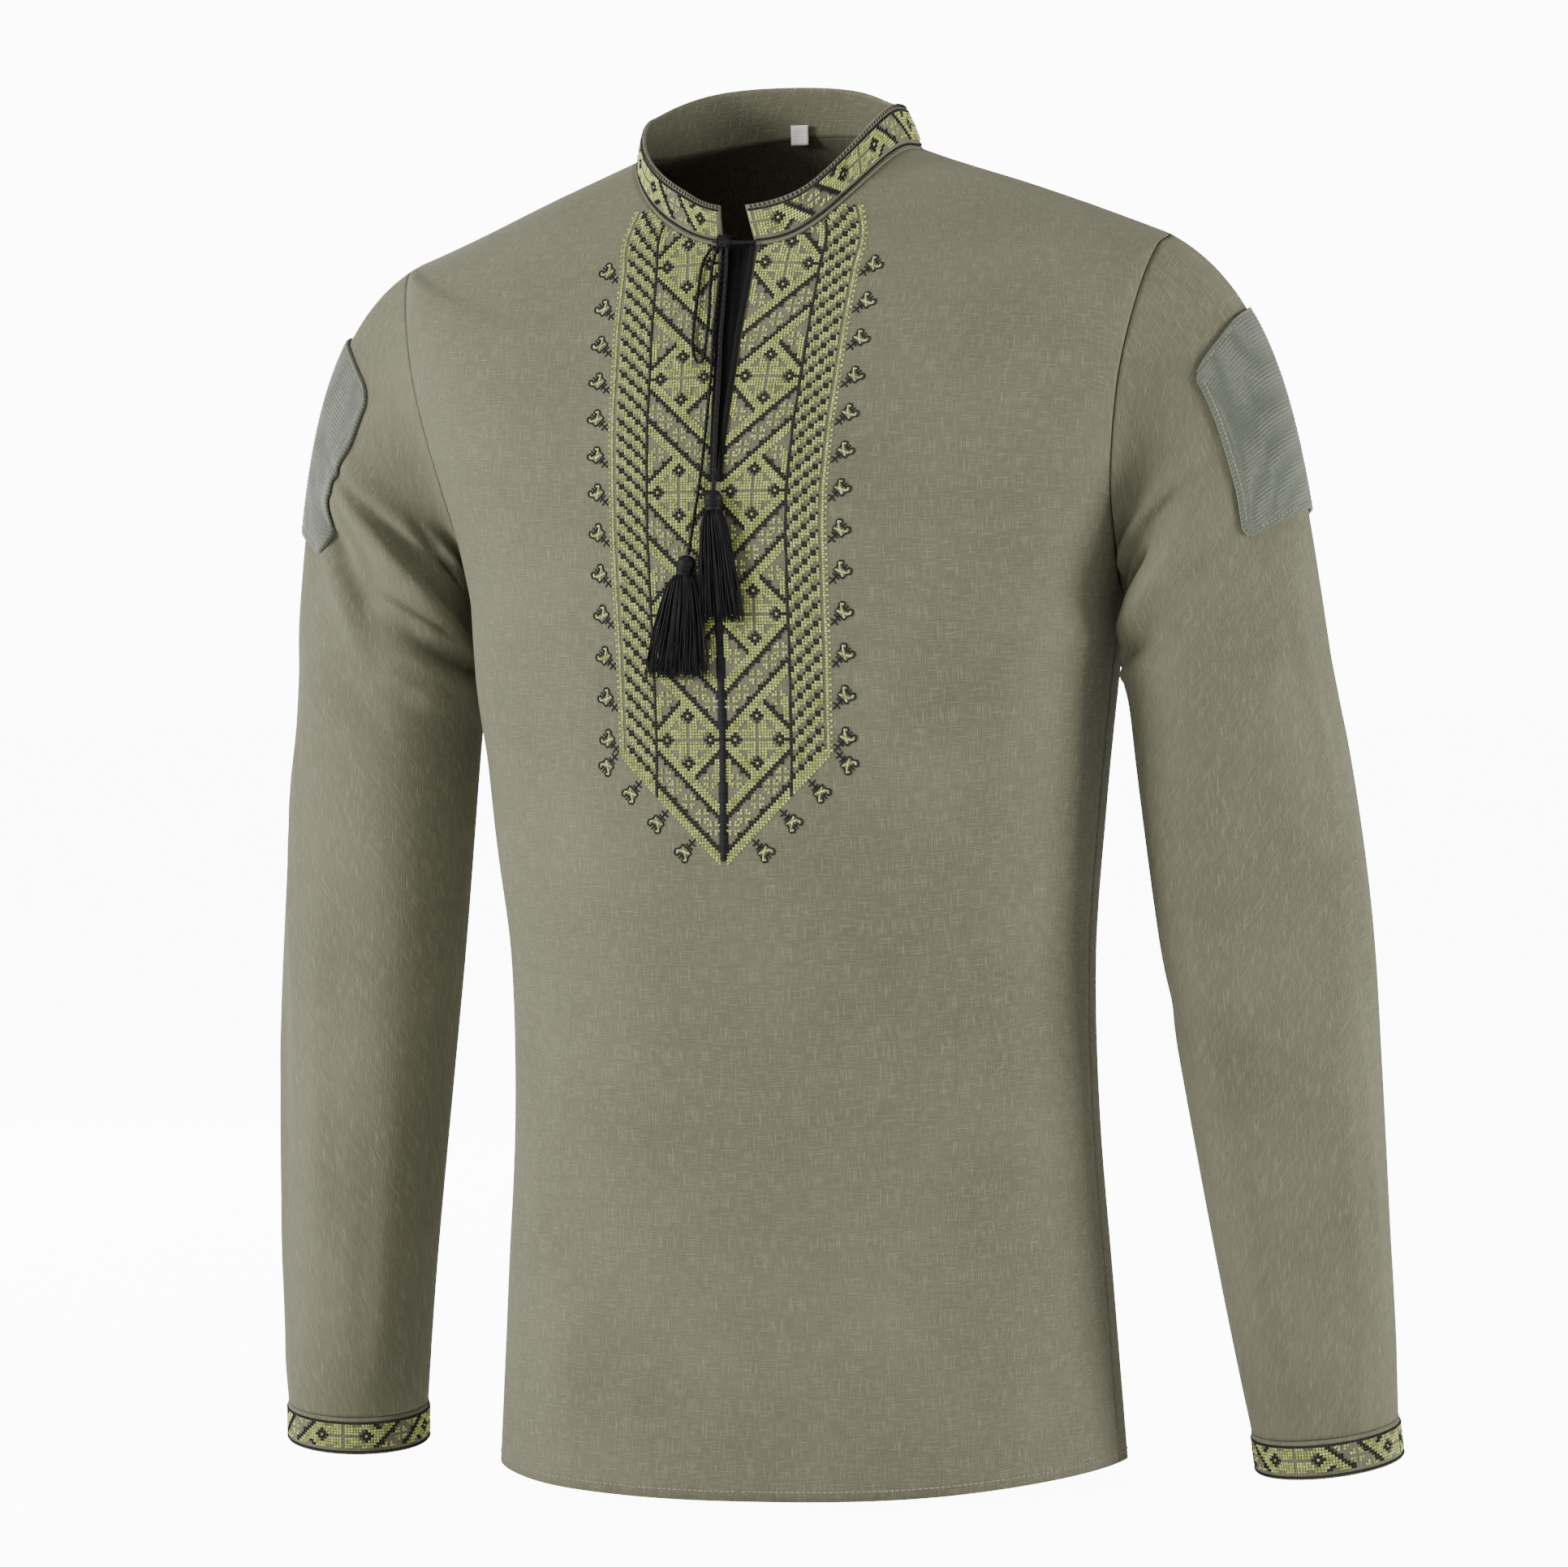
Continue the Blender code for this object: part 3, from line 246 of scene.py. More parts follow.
# Stand collar
COLLAR_BACK_HEIGHT = 0.0250
COLLAR_FRONT_HEIGHT = 0.0200
COLLAR_LEAN = 0.0030
COLLAR_LEFT_LEAN = 0.0060
COLLAR_TRIMS = ((6.8, 2.8, -0.0080), (13.0, 3.5, 0.0055), (23.0, 3.0, -0.0040))
COLLAR_END_GAP = 0.0025
COLLAR_END_LEANS = (-0.0030, -0.0062)

# Neck tie: routes down the front as x and z, and how far the cord's centre stands off
# the cloth's middle.
CORD_DIAMETER = 0.0019
LOOP_ROUTE = (
    (-0.015, -0.0522, 0.0044), (-0.018, -0.0545, 0.0034), (-0.0216, -0.0621, 0.003),
    (-0.0229, -0.0794, 0.0028), (-0.0231, -0.099, 0.0028), (-0.0222, -0.1085, 0.0028),
    (-0.0192, -0.1135, 0.0028), (-0.016, -0.1105, 0.0034), (-0.0148, -0.0927, 0.0037),
    (-0.0158, -0.0709, 0.0037), (-0.015, -0.06, 0.0039), (-0.0127, -0.0533, 0.0046),
)
TAIL_ROUTES = {
    "left": (
        (-0.0074, -0.0534, 0.005), (-0.0074, -0.064, 0.004), (-0.0072, -0.095, 0.0036),
        (-0.0066, -0.13, 0.0036), (-0.0056, -0.16, 0.0044), (-0.005, -0.1812, 0.0058),
    ),
    "right": (
        (-0.0101, -0.0536, 0.005), (-0.0105, -0.064, 0.004), (-0.0112, -0.09, 0.0036),
        (-0.0111, -0.115, 0.0034), (-0.0116, -0.149, 0.0034), (-0.0135, -0.1746, 0.0036),
        (-0.0163, -0.2, 0.0048), (-0.018, -0.2152, 0.0058),
    ),
}
KNOT_ROUTE = (
    (-0.016, -0.049, 0.0037, 0.0009), (-0.014, -0.0488, 0.0044, 0.0011), (-0.0122, -0.0486, 0.005, 0.0023),
    (-0.0098, -0.0486, 0.0054, 0.0029), (-0.0074, -0.0488, 0.005, 0.0023),
    (-0.0056, -0.049, 0.0046, 0.0012), (0.001, -0.05, 0.004, 0.0009), (0.008, -0.0496, 0.0038, 0.0009),
)
# The knot is fuller than its solid, and wound with three turns of a cord: the x at which
# they start, their length, height, distance off the cloth, radius and the cord's radius.
KNOT_FULLER = 1.15
WRAP_START, WRAP_LENGTH, WRAP_HEIGHT, WRAP_OFF = -0.0122, 0.0052, -0.0487, 0.0050
WRAP_TURNS, WRAP_RADIUS, WRAP_CORD = 3, 0.0026, 0.00105
# Each tassel: x and z of its top, of the head's foot and of the strands' ends, and half
# the width there.
TASSELS = {
    "left": (-0.0050, -0.1815, -0.0046, -0.1925, 0.0010, -0.2500, 0.0115),
    "right": (-0.0180, -0.2155, -0.0204, -0.2262, -0.0240, -0.2790, 0.0165),
}
TASSEL_HEAD = 0.0050
TASSEL_OFF = 0.0058
# The head's outline from top to foot, as shares of its length and of its radius
TASSEL_OUTLINE = (
    (0, 0.3), (0.1, 0.72), (0.3, 0.98), (0.5, 1), (0.62, 0.8), (0.74, 0.78), (0.86, 0.9), (1, 0.84),
)
# The strands leave the head as a round bundle, and the binding lies on the neck.
BUNDLE = 0.78
BINDING = 0.84
# The strands spread wider than the solid tassels
FULLER = 1.14

# Threads of the stitches, as width and height
HEM_THREAD = (0.00030, 0.00024)
PAD_THREAD = (0.00034, 0.00026)
CROSS_THREAD = (0.00040, 0.00034)
TOOTH_THREAD = (0.00050, 0.00040)
SATIN_THREAD = (0.00046, 0.00040)
SPRIG_THREAD = (0.00050, 0.00032)
# The hem's stitches stand this far above its edge.
HEM_RISE = 0.0053

# The pads: degrees round the arm, rows down the sleeve, and size
PAD_TURNS = (-42.0, 56.0)
PAD_STEPS = (2.3, 6.3)
PAD_WIDE, PAD_TALL, PAD_CORNER = 0.092, 0.105, 0.009


def curve(rows, t, corners=()):
    """A smooth curve through a table's rows, at row numbers t, bent at corner rows."""
    table = np.array(rows, float)
    last = len(table) - 1
    t = np.clip(np.asarray(t, float), 0.0, last)
    i = np.minimum(t.astype(int), last - 1)
    f = (t - i)[..., None]
    b, c = table[i], table[i + 1]
    starts = ((i == 0) | np.isin(i, corners))[..., None]
    ends = ((i + 2 > last) | np.isin(i + 1, corners))[..., None]
    a = np.where(starts, 2 * b - c, table[np.maximum(i - 1, 0)])
    d = np.where(ends, 2 * c - b, table[np.minimum(i + 2, last)])
    return b + 0.5 * f * (c - a + f * (2 * a - 5 * b + 4 * c - d + f * (3 * (b - c) + d - a)))


def sample(rows, t):
    """Panel rows: the edge turns corners at the underarm and at the shoulder."""
    row = curve(rows, t)
    row[..., :3] = curve(rows, t, (UNDERARM_ROW, SHOULDER_ROW))[..., :3]
    row[..., 5] = np.minimum(row[..., 5], 90.0)
    return row


def smoothstep(low, high, value):
    f = np.clip((np.asarray(value, float) - low) / (high - low), 0.0, 1.0)
    return f * f * (3 - 2 * f)


def together(*values):
    """Arrays of numbers brought to one shape."""
    return np.broadcast_arrays(*(np.asarray(value, float) for value in values))


def between(at, marks, table, period=None):
    """Places at numbers between a table's marked rows."""
    return np.stack([np.interp(at, marks, table[:, k], period=period) for k in range(3)], axis=-1)


def joined(parts):
    """Several lists of starts, ends and normals as one."""
    return [np.concatenate([part[k] for part in parts]) for k in range(3)]


def unit(vectors):
    return vectors / np.maximum(np.linalg.norm(vectors, axis=-1, keepdims=True), 1e-12)


def dot(a, b):
    return np.sum(a * b, axis=-1, keepdims=True)


def run_of(points):
    """Length along a row of points, from its start."""
    steps = np.linalg.norm(np.diff(points, axis=0), axis=1)
    return np.concatenate(([0.0], np.cumsum(steps)))


def panel_rows(rows):
    """Row numbers of the panel's coarse grid, evenly spaced along the edge."""
    found = []
    parts = (
        (0, UNDERARM_ROW, HEM_STEPS),
        (UNDERARM_ROW, SHOULDER_ROW, ARMHOLE_STEPS),
        (SHOULDER_ROW, NECK_ROW, SHOULDER_STEPS),
    )
    for low, high, steps in parts:
        ts = np.linspace(low, high, 200)
        run = run_of(sample(rows, ts)[:, :3])
        wanted = np.linspace(0, run[-1], steps + 1)
        found += list(np.interp(wanted, run, ts)[1 if found else 0:])
    return np.array(found)


FRONT_TS = panel_rows(FRONT_ROWS)
BACK_TS = panel_rows(BACK_ROWS)
SLIT_BOTTOM = FRONT_TS[SLIT_STEP]
SLIT_BOTTOM_Z = float(sample(FRONT_ROWS, SLIT_BOTTOM)[4])
SLIT_TOP_Z = FRONT_ROWS[NECK_ROW][4]


def slit_half(t):
    """Half the width of the neck slit at row t."""
    share = (sample(FRONT_ROWS, t)[..., 4] - SLIT_BOTTOM_Z) / (SLIT_TOP_Z - SLIT_BOTTOM_Z)
    return SLIT_HALF_TOP * np.maximum(share, 0.0) ** SLIT_SPREAD


def middle_x(t):
    """The x of the front's middle line at row t."""
    heights, places = zip(*MIDDLE_LINE)
    return np.interp(sample(FRONT_ROWS, t)[..., 4], heights, places)


def turn_at_x(x, t):
    """Radians round from the front's centre line at which row t passes x."""
    row = sample(FRONT_ROWS, t)
    share = np.minimum(np.abs(x) / row[..., 0], 1.0)
    return np.arcsin(np.minimum(share ** (ROUNDNESS["front"] / 2) * np.sin(np.radians(row[..., 5])), 1.0))


def panel_base(which, side, turn, t):
    """Points of the plain front or back, turn radians round from the centre line."""
    row = sample(ROWS[which], t)
    full = np.radians(row[..., 5])
    angle = np.minimum(turn, full)
    power = 2 / ROUNDNESS[which]
    out = np.sin(angle) ** power / np.sin(full) ** power
    back = (1 - np.maximum(np.cos(angle), 0) ** power) / (1 - np.maximum(np.cos(full), 0) ** power)
    dip = np.sin(angle) ** 2 / np.sin(full) ** 2
    x = side * row[..., 0] * out
    y = row[..., 3] + (row[..., 1] - row[..., 3]) * back + FACING[which] * SEAM
    z = row[..., 4] + (row[..., 2] - row[..., 4]) * dip
    z = z - NECK_FALL * ((x ** 2 + 0.0004) ** 0.5 - 0.02) * smoothstep(SHOULDER_ROW - 2, NECK_ROW, t)
    near_neck = smoothstep(SHOULDER_ROW, NECK_ROW, t) * smoothstep(0.02, 0.06, np.abs(x))
    bump = smoothstep(9, 13, t) * (1 - 0.8 * smoothstep(13, NECK_ROW, t))
    x = x + NECK_SHIFT * near_neck
    z = z + np.where(x > 0, LEFT_SHOULDER_RISE * bump * smoothstep(0.02, 0.13, x), 0.0)
    return np.stack((x, y, z), axis=-1)


def fold_height(folds, across, along):
    """How far the cloth stands out at places, from a table of straight soft folds."""
    total = np.zeros(np.shape(across))
    for ax, az, bx, bz, width, height in folds:
        dx, dz = bx - ax, bz - az
        f = ((across - ax) * dx + (along - az) * dz) / (dx * dx + dz * dz)
        near = np.clip(f, 0.0, 1.0)
        away = (across - ax - near * dx) ** 2 + (along - az - near * dz) ** 2
        fade = smoothstep(-0.25, 0.2, f) * smoothstep(-0.25, 0.2, 1 - f)
        total += height * fade * np.exp(-away / (2 * width * width))
    return total


def crease_height(creases, across, along):
    """How far bowed creases stand out, each softer on one side than on the other."""
    total = np.zeros(np.shape(across))
    for ax, az, bx, bz, bow, slope_left, slope_right, height in creases:
        dx, dz = bx - ax, bz - az
        length = (dx * dx + dz * dz) ** 0.5
        f = ((across - ax) * dx + (along - az) * dz) / length ** 2
        near = np.clip(f, 0.0, 1.0)
        off = ((across - ax) * dz - (along - az) * dx) / length - bow * 4 * near * (1 - near)
        slope = np.where(off < 0, slope_left, slope_right)
        past = np.maximum(np.abs(f - 0.5) - 0.5, 0.0) * length
        fade = smoothstep(-0.02, 0.35, f) * smoothstep(-0.02, 0.35, 1 - f)
        total += height * fade * np.exp(-(off ** 2 + past ** 2) / (2 * slope * slope))
    return total


def normals_of(surface, a, b, step_a, step_b, toward):
    """Unit normals of surface(a, b), turned to the side that toward points to."""
    along = surface(a + step_a, b) - surface(a - step_a, b)
    up = surface(a, b + step_b) - surface(a, b - step_b)
    normal = unit(np.cross(along, up))
    return normal * np.where(dot(normal, toward) < 0, -1.0, 1.0)


def panel_shape(which, side, turn, t):
    """Points of the front or back with its folds and creases."""
    turn, t = together(turn, t)
    full = np.radians(sample(ROWS[which], t)[..., 5])
    turn = np.clip(turn, 0.0, full)
    t = np.clip(t, 0.0, NECK_ROW)
    toward = np.array([side * 0.3, FACING[which], 0.3])

    def plain(turn, t):
        return panel_base(which, side, np.clip(turn, 0.0, None), np.clip(t, 0.0, NECK_ROW))

    points = plain(turn, t)
    normals = normals_of(plain, turn, t, 0.02, 0.02, toward)
    hold = smoothstep(0.0, 0.4, full - turn) * smoothstep(0.0, 2.0, NECK_ROW - t)
    rise = fold_height(BODY_FOLDS[which], points[..., 0], points[..., 2])
    rise = rise + crease_height(BODY_CREASES[which], points[..., 0], points[..., 2])
    return points + normals * (rise * hold)[..., None]


def panel_at(which, side, turn, t, out=0.0):
    """Points of the finished front or back, moved out along its normals."""
    points = panel_shape(which, side, turn, t)
    if np.ndim(out) == 0 and out == 0.0:
        return points
    toward = np.array([side * 0.3, FACING[which], 0.3])
    normals = normals_of(lambda a, b: panel_shape(which, side, a, b), turn, t, 0.01, 0.02, toward)
    return points + normals * np.asarray(out)[..., None]


def panel_point(which, side, a, t, out=0.0):
    """Points of a panel: a runs 0 to 1 from the centre or the slit to the side edge."""
    a, t = together(a, t)
    full = np.radians(sample(ROWS[which], t)[..., 5])
    if which == "back":
        return panel_at(which, side, a ** 1.15 * full, t, out)
    away = slit_half(t) + side * middle_x(t)
    start = np.where(away < 0, -1, 1) * turn_at_x(away, t)
    turn = start + a ** 1.15 * (full - start)
    here = panel_at(which, side, np.maximum(turn, 0.0), t, out)
    past_middle = panel_at(which, -side, np.maximum(-turn, 0.0), t, out)
    return np.where((turn >= 0)[..., None], here, past_middle)


def row_at(x, z):
    """The front's row numbers at which it passes x and z."""
    x, z = together(x, z)
    low, high = np.zeros(x.shape), np.full(x.shape, float(NECK_ROW))
    side = np.where(x > 0, 1.0, -1.0)
    for _ in range(24):
        middle = (low + high) / 2
        under = panel_base("front", side, turn_at_x(x, middle), middle)[..., 2] < z
        low, high = np.where(under, middle, low), np.where(under, high, middle)
    return low


def front_spot(x, z, off=0.0):
    """Points off the front's middle surface at x and z, and the normals there."""
    x, z = together(x, z)
    t = row_at(x, z)
    turn = turn_at_x(x, t)
    points, normals = np.zeros(x.shape + (3,)), np.zeros(x.shape + (3,))
    for side in (-1, 1):
        here = x > 0 if side == 1 else x <= 0
        if not np.any(here):
            continue
        toward = np.array([side * 0.3, -1, 0.3])
        points[here] = panel_shape("front", side, turn[here], t[here])
        normals[here] = normals_of(
            lambda a, b: panel_shape("front", side, a, b), turn[here] + 0.006, t[here], 0.005, 0.02, toward
        )
    return points + normals * np.asarray(off)[..., None], normals


def arm_ring(side, share, turn):
    """Points of the sleeve's lower part, and the way down it there."""
    share, turn = together(share, turn)
    last = len(ARM_ROWS) - 1
    at = share * last
    row = curve(ARM_ROWS, at)
    after = curve(ARM_ROWS, np.minimum(at + 0.1, last))[..., :3]
    down = unit(after - curve(ARM_ROWS, np.maximum(at - 0.1, 0))[..., :3])
    lean = np.radians(row[..., 5])
    flat = np.stack((np.cos(lean), np.sin(lean), np.zeros_like(lean)), axis=-1)
    flat = unit(flat - down * dot(flat, down))
    thin = unit(np.cross(down, flat))
    thin = thin * np.where(thin[..., 1:2] > 0, -1.0, 1.0)
    angle = turn + lean
    points = row[..., :3] + flat * (row[..., 3] * np.cos(angle))[..., None]
    points = points + thin * (row[..., 4] * np.sin(angle))[..., None]
    mirror = np.array([side, 1.0, 1.0])
    return points * mirror, down * mirror


def armhole(side, a, i):
    """Points near the armhole seam at column i round it, a being 1 on the seam."""
    i = np.asarray(i, float) % TURNS
    half = ARMHOLE_STEPS
    steps = np.arange(half + 1)
    front_t = np.interp(i, steps, FRONT_TS[HEM_STEPS:HEM_STEPS + half + 1][::-1])
    back_t = np.interp(i - half, steps, BACK_TS[HEM_STEPS:HEM_STEPS + half + 1])
    front = panel_point("front", side, a, front_t)
    points = np.where((i <= half)[..., None], front, panel_point("back", side, a, back_t))
    near_seam = np.maximum(1 - np.minimum(np.minimum(i, TURNS - i), np.abs(i - half)) * 2, 0)
    points[..., 1] += np.where(i <= half, SEAM, -SEAM) * near_seam
    return points


def sleeve_starts(side):
    """Where the sleeve starts off the armhole seam, and which way it leaves it."""
    i = np.arange(TURNS)
    seam, inner = armhole(side, 1.0, i), armhole(side, 0.93, i)
    turn = 2 * pi * i / TURNS
    along = unit(np.roll(seam, -1, axis=0) - np.roll(seam, 1, axis=0))
    step = seam - inner
    away = step - along * dot(step, along)
    short = np.linalg.norm(away, axis=1) < 0.35 * np.linalg.norm(step, axis=1)
    away[short | (np.cos(turn) < -0.8)] = (side * 0.2, 0, 1)
    away[0] = (side, 0, -0.35)
    away = unit(away)
    low = np.maximum(-np.cos(turn), 0.0)
    lean = np.stack((np.full(TURNS, float(side)), np.zeros(TURNS), -0.2 * (1 - low)), axis=-1)
    ways = unit(away + lean * (0.25 + 0.5 * low)[:, None])
    for _ in range(2):
        ways = (np.roll(ways, 1, axis=0) + ways * 2 + np.roll(ways, -1, axis=0)) / 4
    ways = unit(ways)
    bend = np.arccos(np.clip(dot(away, ways)[:, 0], -1, 1))
    return ways, 0.0007 + CLOTH * np.sin(bend / 2)


STARTS = {side: sleeve_starts(side) for side in (-1, 1)}
SEAM_COLUMNS = np.arange(10 * TURNS) / 10
SEAM_POINTS = {side: armhole(side, 1.0, SEAM_COLUMNS) for side in (-1, 1)}


def sleeve_base(side, i, j):
    """Points of the plain sleeve: column i round it, row j down it."""
    i, j = together(i, j)
    turn = 2 * pi * i / TURNS
    ring, _ = arm_ring(side, np.clip((j - CAP_STEPS) / ARM_STEPS, 0.0, 1.0), turn)
    ways, gaps = STARTS[side]
    columns = np.arange(TURNS)
    way = unit(between(i, columns, ways, TURNS))
    gap = np.interp(i, columns, gaps, period=TURNS)[..., None]
    start = between(i, SEAM_COLUMNS, SEAM_POINTS[side], TURNS) + way * gap
    end, down = arm_ring(side, 0.0, turn)
    chord = np.linalg.norm(end - start, axis=-1, keepdims=True)
    s = np.clip(j / CAP_STEPS, 0.0, 1.0)[..., None]
    leave = way * chord * (0.85 + 0.15 * np.cos(turn))[..., None]
    cap = (
        start * (2 * s ** 3 - 3 * s ** 2 + 1)
        + leave * (s ** 3 - 2 * s ** 2 + s)
        + end * (3 * s ** 2 - 2 * s ** 3)
        + down * chord * 1.05 * (s ** 3 - s ** 2)
    )
    return np.where((j >= CAP_STEPS)[..., None], ring, cap)


def sleeve_shape(side, i, j):
    """Points of the sleeve with its folds and creases."""
    i, j = together(i, j)
    j = np.clip(j, 0.0, SLEEVE_ROWS)
    side_name = "left" if side == 1 else "right"

    def plain(i, j):
        return sleeve_base(side, i, np.clip(j, 0.0, SLEEVE_ROWS))

    points = plain(i, j)
    around = 2 * pi * i / TURNS
    toward = np.stack((side * np.cos(around), -np.sin(around), np.zeros_like(around)), axis=-1)
    toward[..., 2] = np.where(j < CAP_STEPS, 0.6 * np.cos(around), 0.0)
    normals = normals_of(plain, i, j, 0.1, 0.1, toward)
    across, along = (i * 360.0 / TURNS) % 360.0 * DEGREE, j / SLEEVE_ROWS * SLEEVE_LENGTH
    rise = np.zeros(i.shape)
    for whole_turn in (-360, 0, 360):
        shift = np.array([DEGREE, SLEEVE_LENGTH, DEGREE, SLEEVE_LENGTH])
        for table, height_of in ((SLEEVE_FOLDS, fold_height), (SLEEVE_CREASES, crease_height)):
            rows = []
            for row in table[side_name]:
                places = (np.array(row[:4]) + np.array([whole_turn, 0, whole_turn, 0])) * shift
                rows.append((*places, *row[4:]))
            rise += height_of(rows, across, along)
    rise = rise * smoothstep(0, 3, j) * smoothstep(0, 2, SLEEVE_ROWS - j)
    return points + normals * rise[..., None]


def sleeve_at(side, i, j, out):
    """Points of the finished sleeve moved out along its normals, and the normals."""
    i, j = together(i, j)
    around = 2 * pi * i / TURNS
    toward = np.stack((side * np.cos(around), -np.sin(around), 0.3 * np.cos(around)), axis=-1)
    normals = normals_of(lambda a, b: sleeve_shape(side, a, b), i, j, 0.05, 0.05, toward)
    return sleeve_shape(side, i, j) + normals * np.asarray(out)[..., None], normals


def neck_base(s):
    """Points of the neck seam: s runs 0 to 36 from the slit's right edge round to its left."""
    s = np.asarray(s, float)
    a = np.abs(np.abs(s - 18) - 9)
    share = 1 - a / 9
    side = np.where(s < 18, -1.0, 1.0)
    points = np.zeros(s.shape + (3,))
    for which, here in (("front", np.abs(s - 18) >= 9), ("back", np.abs(s - 18) < 9)):
        for hand in (-1, 1):
            spots = here & (side == hand)
            if np.any(spots):
                points[spots] = panel_point(which, hand, share[spots], np.full(spots.sum(), float(NECK_ROW)))
                points[spots, 1] -= FACING[which] * SEAM * smoothstep(0.9, 1, share[spots])
    return points


NECK_STEPS = np.linspace(0, 36, 721)
NECK_POINTS = neck_base(NECK_STEPS)
NECK_RUN = run_of(NECK_POINTS)


def collar_at(run, v, out=0.0):
    """Points of the collar at a length along the neck seam, v running 0 to 1 up it."""
    run, v = together(run, v)
    base = between(run, NECK_RUN, NECK_POINTS)
    s = np.interp(run, NECK_RUN, NECK_STEPS)
    share = 4 * (s / 36) * (1 - s / 36)
    tall = COLLAR_FRONT_HEIGHT + (COLLAR_BACK_HEIGHT - COLLAR_FRONT_HEIGHT) * share
    tall = tall + sum(change * np.exp(-((s - at) / wide) ** 2) for at, wide, change in COLLAR_TRIMS)
    lean = COLLAR_LEAN + COLLAR_LEFT_LEAN * np.exp(-((s - 24.0) / 4.5) ** 2)
    inward = unit(base * np.array([-1.0, -1.0, 0.0]))
    near_end = 1 - smoothstep(0, 3, np.minimum(s, 36 - s))
    points = base + inward * (lean * np.maximum(v, 0) ** 1.4 - np.asarray(out))[..., None]
    points[..., 2] += 0.00115 + tall * v
    right = s < 18
    points[..., 0] += near_end * np.where(right, -COLLAR_END_GAP, COLLAR_END_GAP)
    points[..., 0] += near_end * v * np.where(right, COLLAR_END_LEANS[0], COLLAR_END_LEANS[1])
    return points, -inward


def cuff_at(side, turn, v, out=0.0):
    """Points of a cuff, turn radians round the arm and v running 0 to 1 down it."""
    turn, v = together(turn, v)
    points, down = arm_ring(side, 1.0, turn)
    around = arm_ring(side, 1.0, turn + 0.02)[0] - arm_ring(side, 1.0, turn - 0.02)[0]
    normals = unit(np.cross(around, down)) * side
    below = down * (CUFF_GAP + CUFF_HEIGHT * v)[..., None]
    return points + below + normals * np.asarray(out)[..., None], normals


# The camera stands where the photograph's did: 20 degrees round to the wearer's left
# and a little above, tilted by a degree.
VIEW_TURN, VIEW_RISE, VIEW_ROLL = radians(20), radians(2), radians(1.1)
back_way = Vector((sin(VIEW_TURN) * cos(VIEW_RISE), -cos(VIEW_TURN) * cos(VIEW_RISE), sin(VIEW_RISE)))
level = Vector((cos(VIEW_TURN), sin(VIEW_TURN), 0))
upright = back_way.cross(level)
camera = bpy.data.objects.new("camera", bpy.data.cameras.new("camera"))
bpy.context.scene.collection.objects.link(camera)
bpy.context.scene.camera = camera
camera.data.lens = 169.4
camera.data.sensor_width = 36
# The photograph's centre stands 18 of its 1932 pixels off the camera's axis.
camera.data.shift_x = -18 / 1932
camera.data.clip_start = 0.1
camera.data.clip_end = 60
across_view = level * cos(VIEW_ROLL) - upright * sin(VIEW_ROLL)
up_view = level * sin(VIEW_ROLL) + upright * cos(VIEW_ROLL)
turned = Matrix((across_view, up_view, back_way)).transposed().to_4x4()
camera.matrix_world = Matrix.Translation(Vector((0, 0, -0.34)) + back_way * 4.0) @ turned


def colour(text, alpha=1.0):
    """An sRGB hex colour as linear numbers."""
    parts = [int(text[k:k + 2], 16) / 255 for k in (1, 3, 5)]
    return (*(p / 12.92 if p <= 0.04045 else ((p + 0.055) / 1.055) ** 2.4 for p in parts), alpha)


def add(tree, kind, settings=None, links=None):
    """Adds a node, sets its properties and sockets, and links sources to its sockets."""
    node = tree.nodes.new(kind)
    for key, value in (settings or {}).items():
        if isinstance(key, str) and key in node.bl_rna.properties:
            setattr(node, key, value)
        else:
            node.inputs[key].default_value = value
    for key, source in (links or {}).items():
        tree.links.new(source, node.inputs[key])
    return node


def new_material(name, base, roughness, **sockets):
    """A material with its constants set on the Principled shader's own sockets."""
    material = bpy.data.materials.new(name)
    material.use_nodes = True
    shader = material.node_tree.nodes["Principled BSDF"]
    shader.inputs["Base Color"].default_value = colour(base)
    shader.inputs["Roughness"].default_value = roughness
    for key, value in sockets.items():
        shader.inputs[key.replace("_", " ")].default_value = value
    return material, material.node_tree, shader


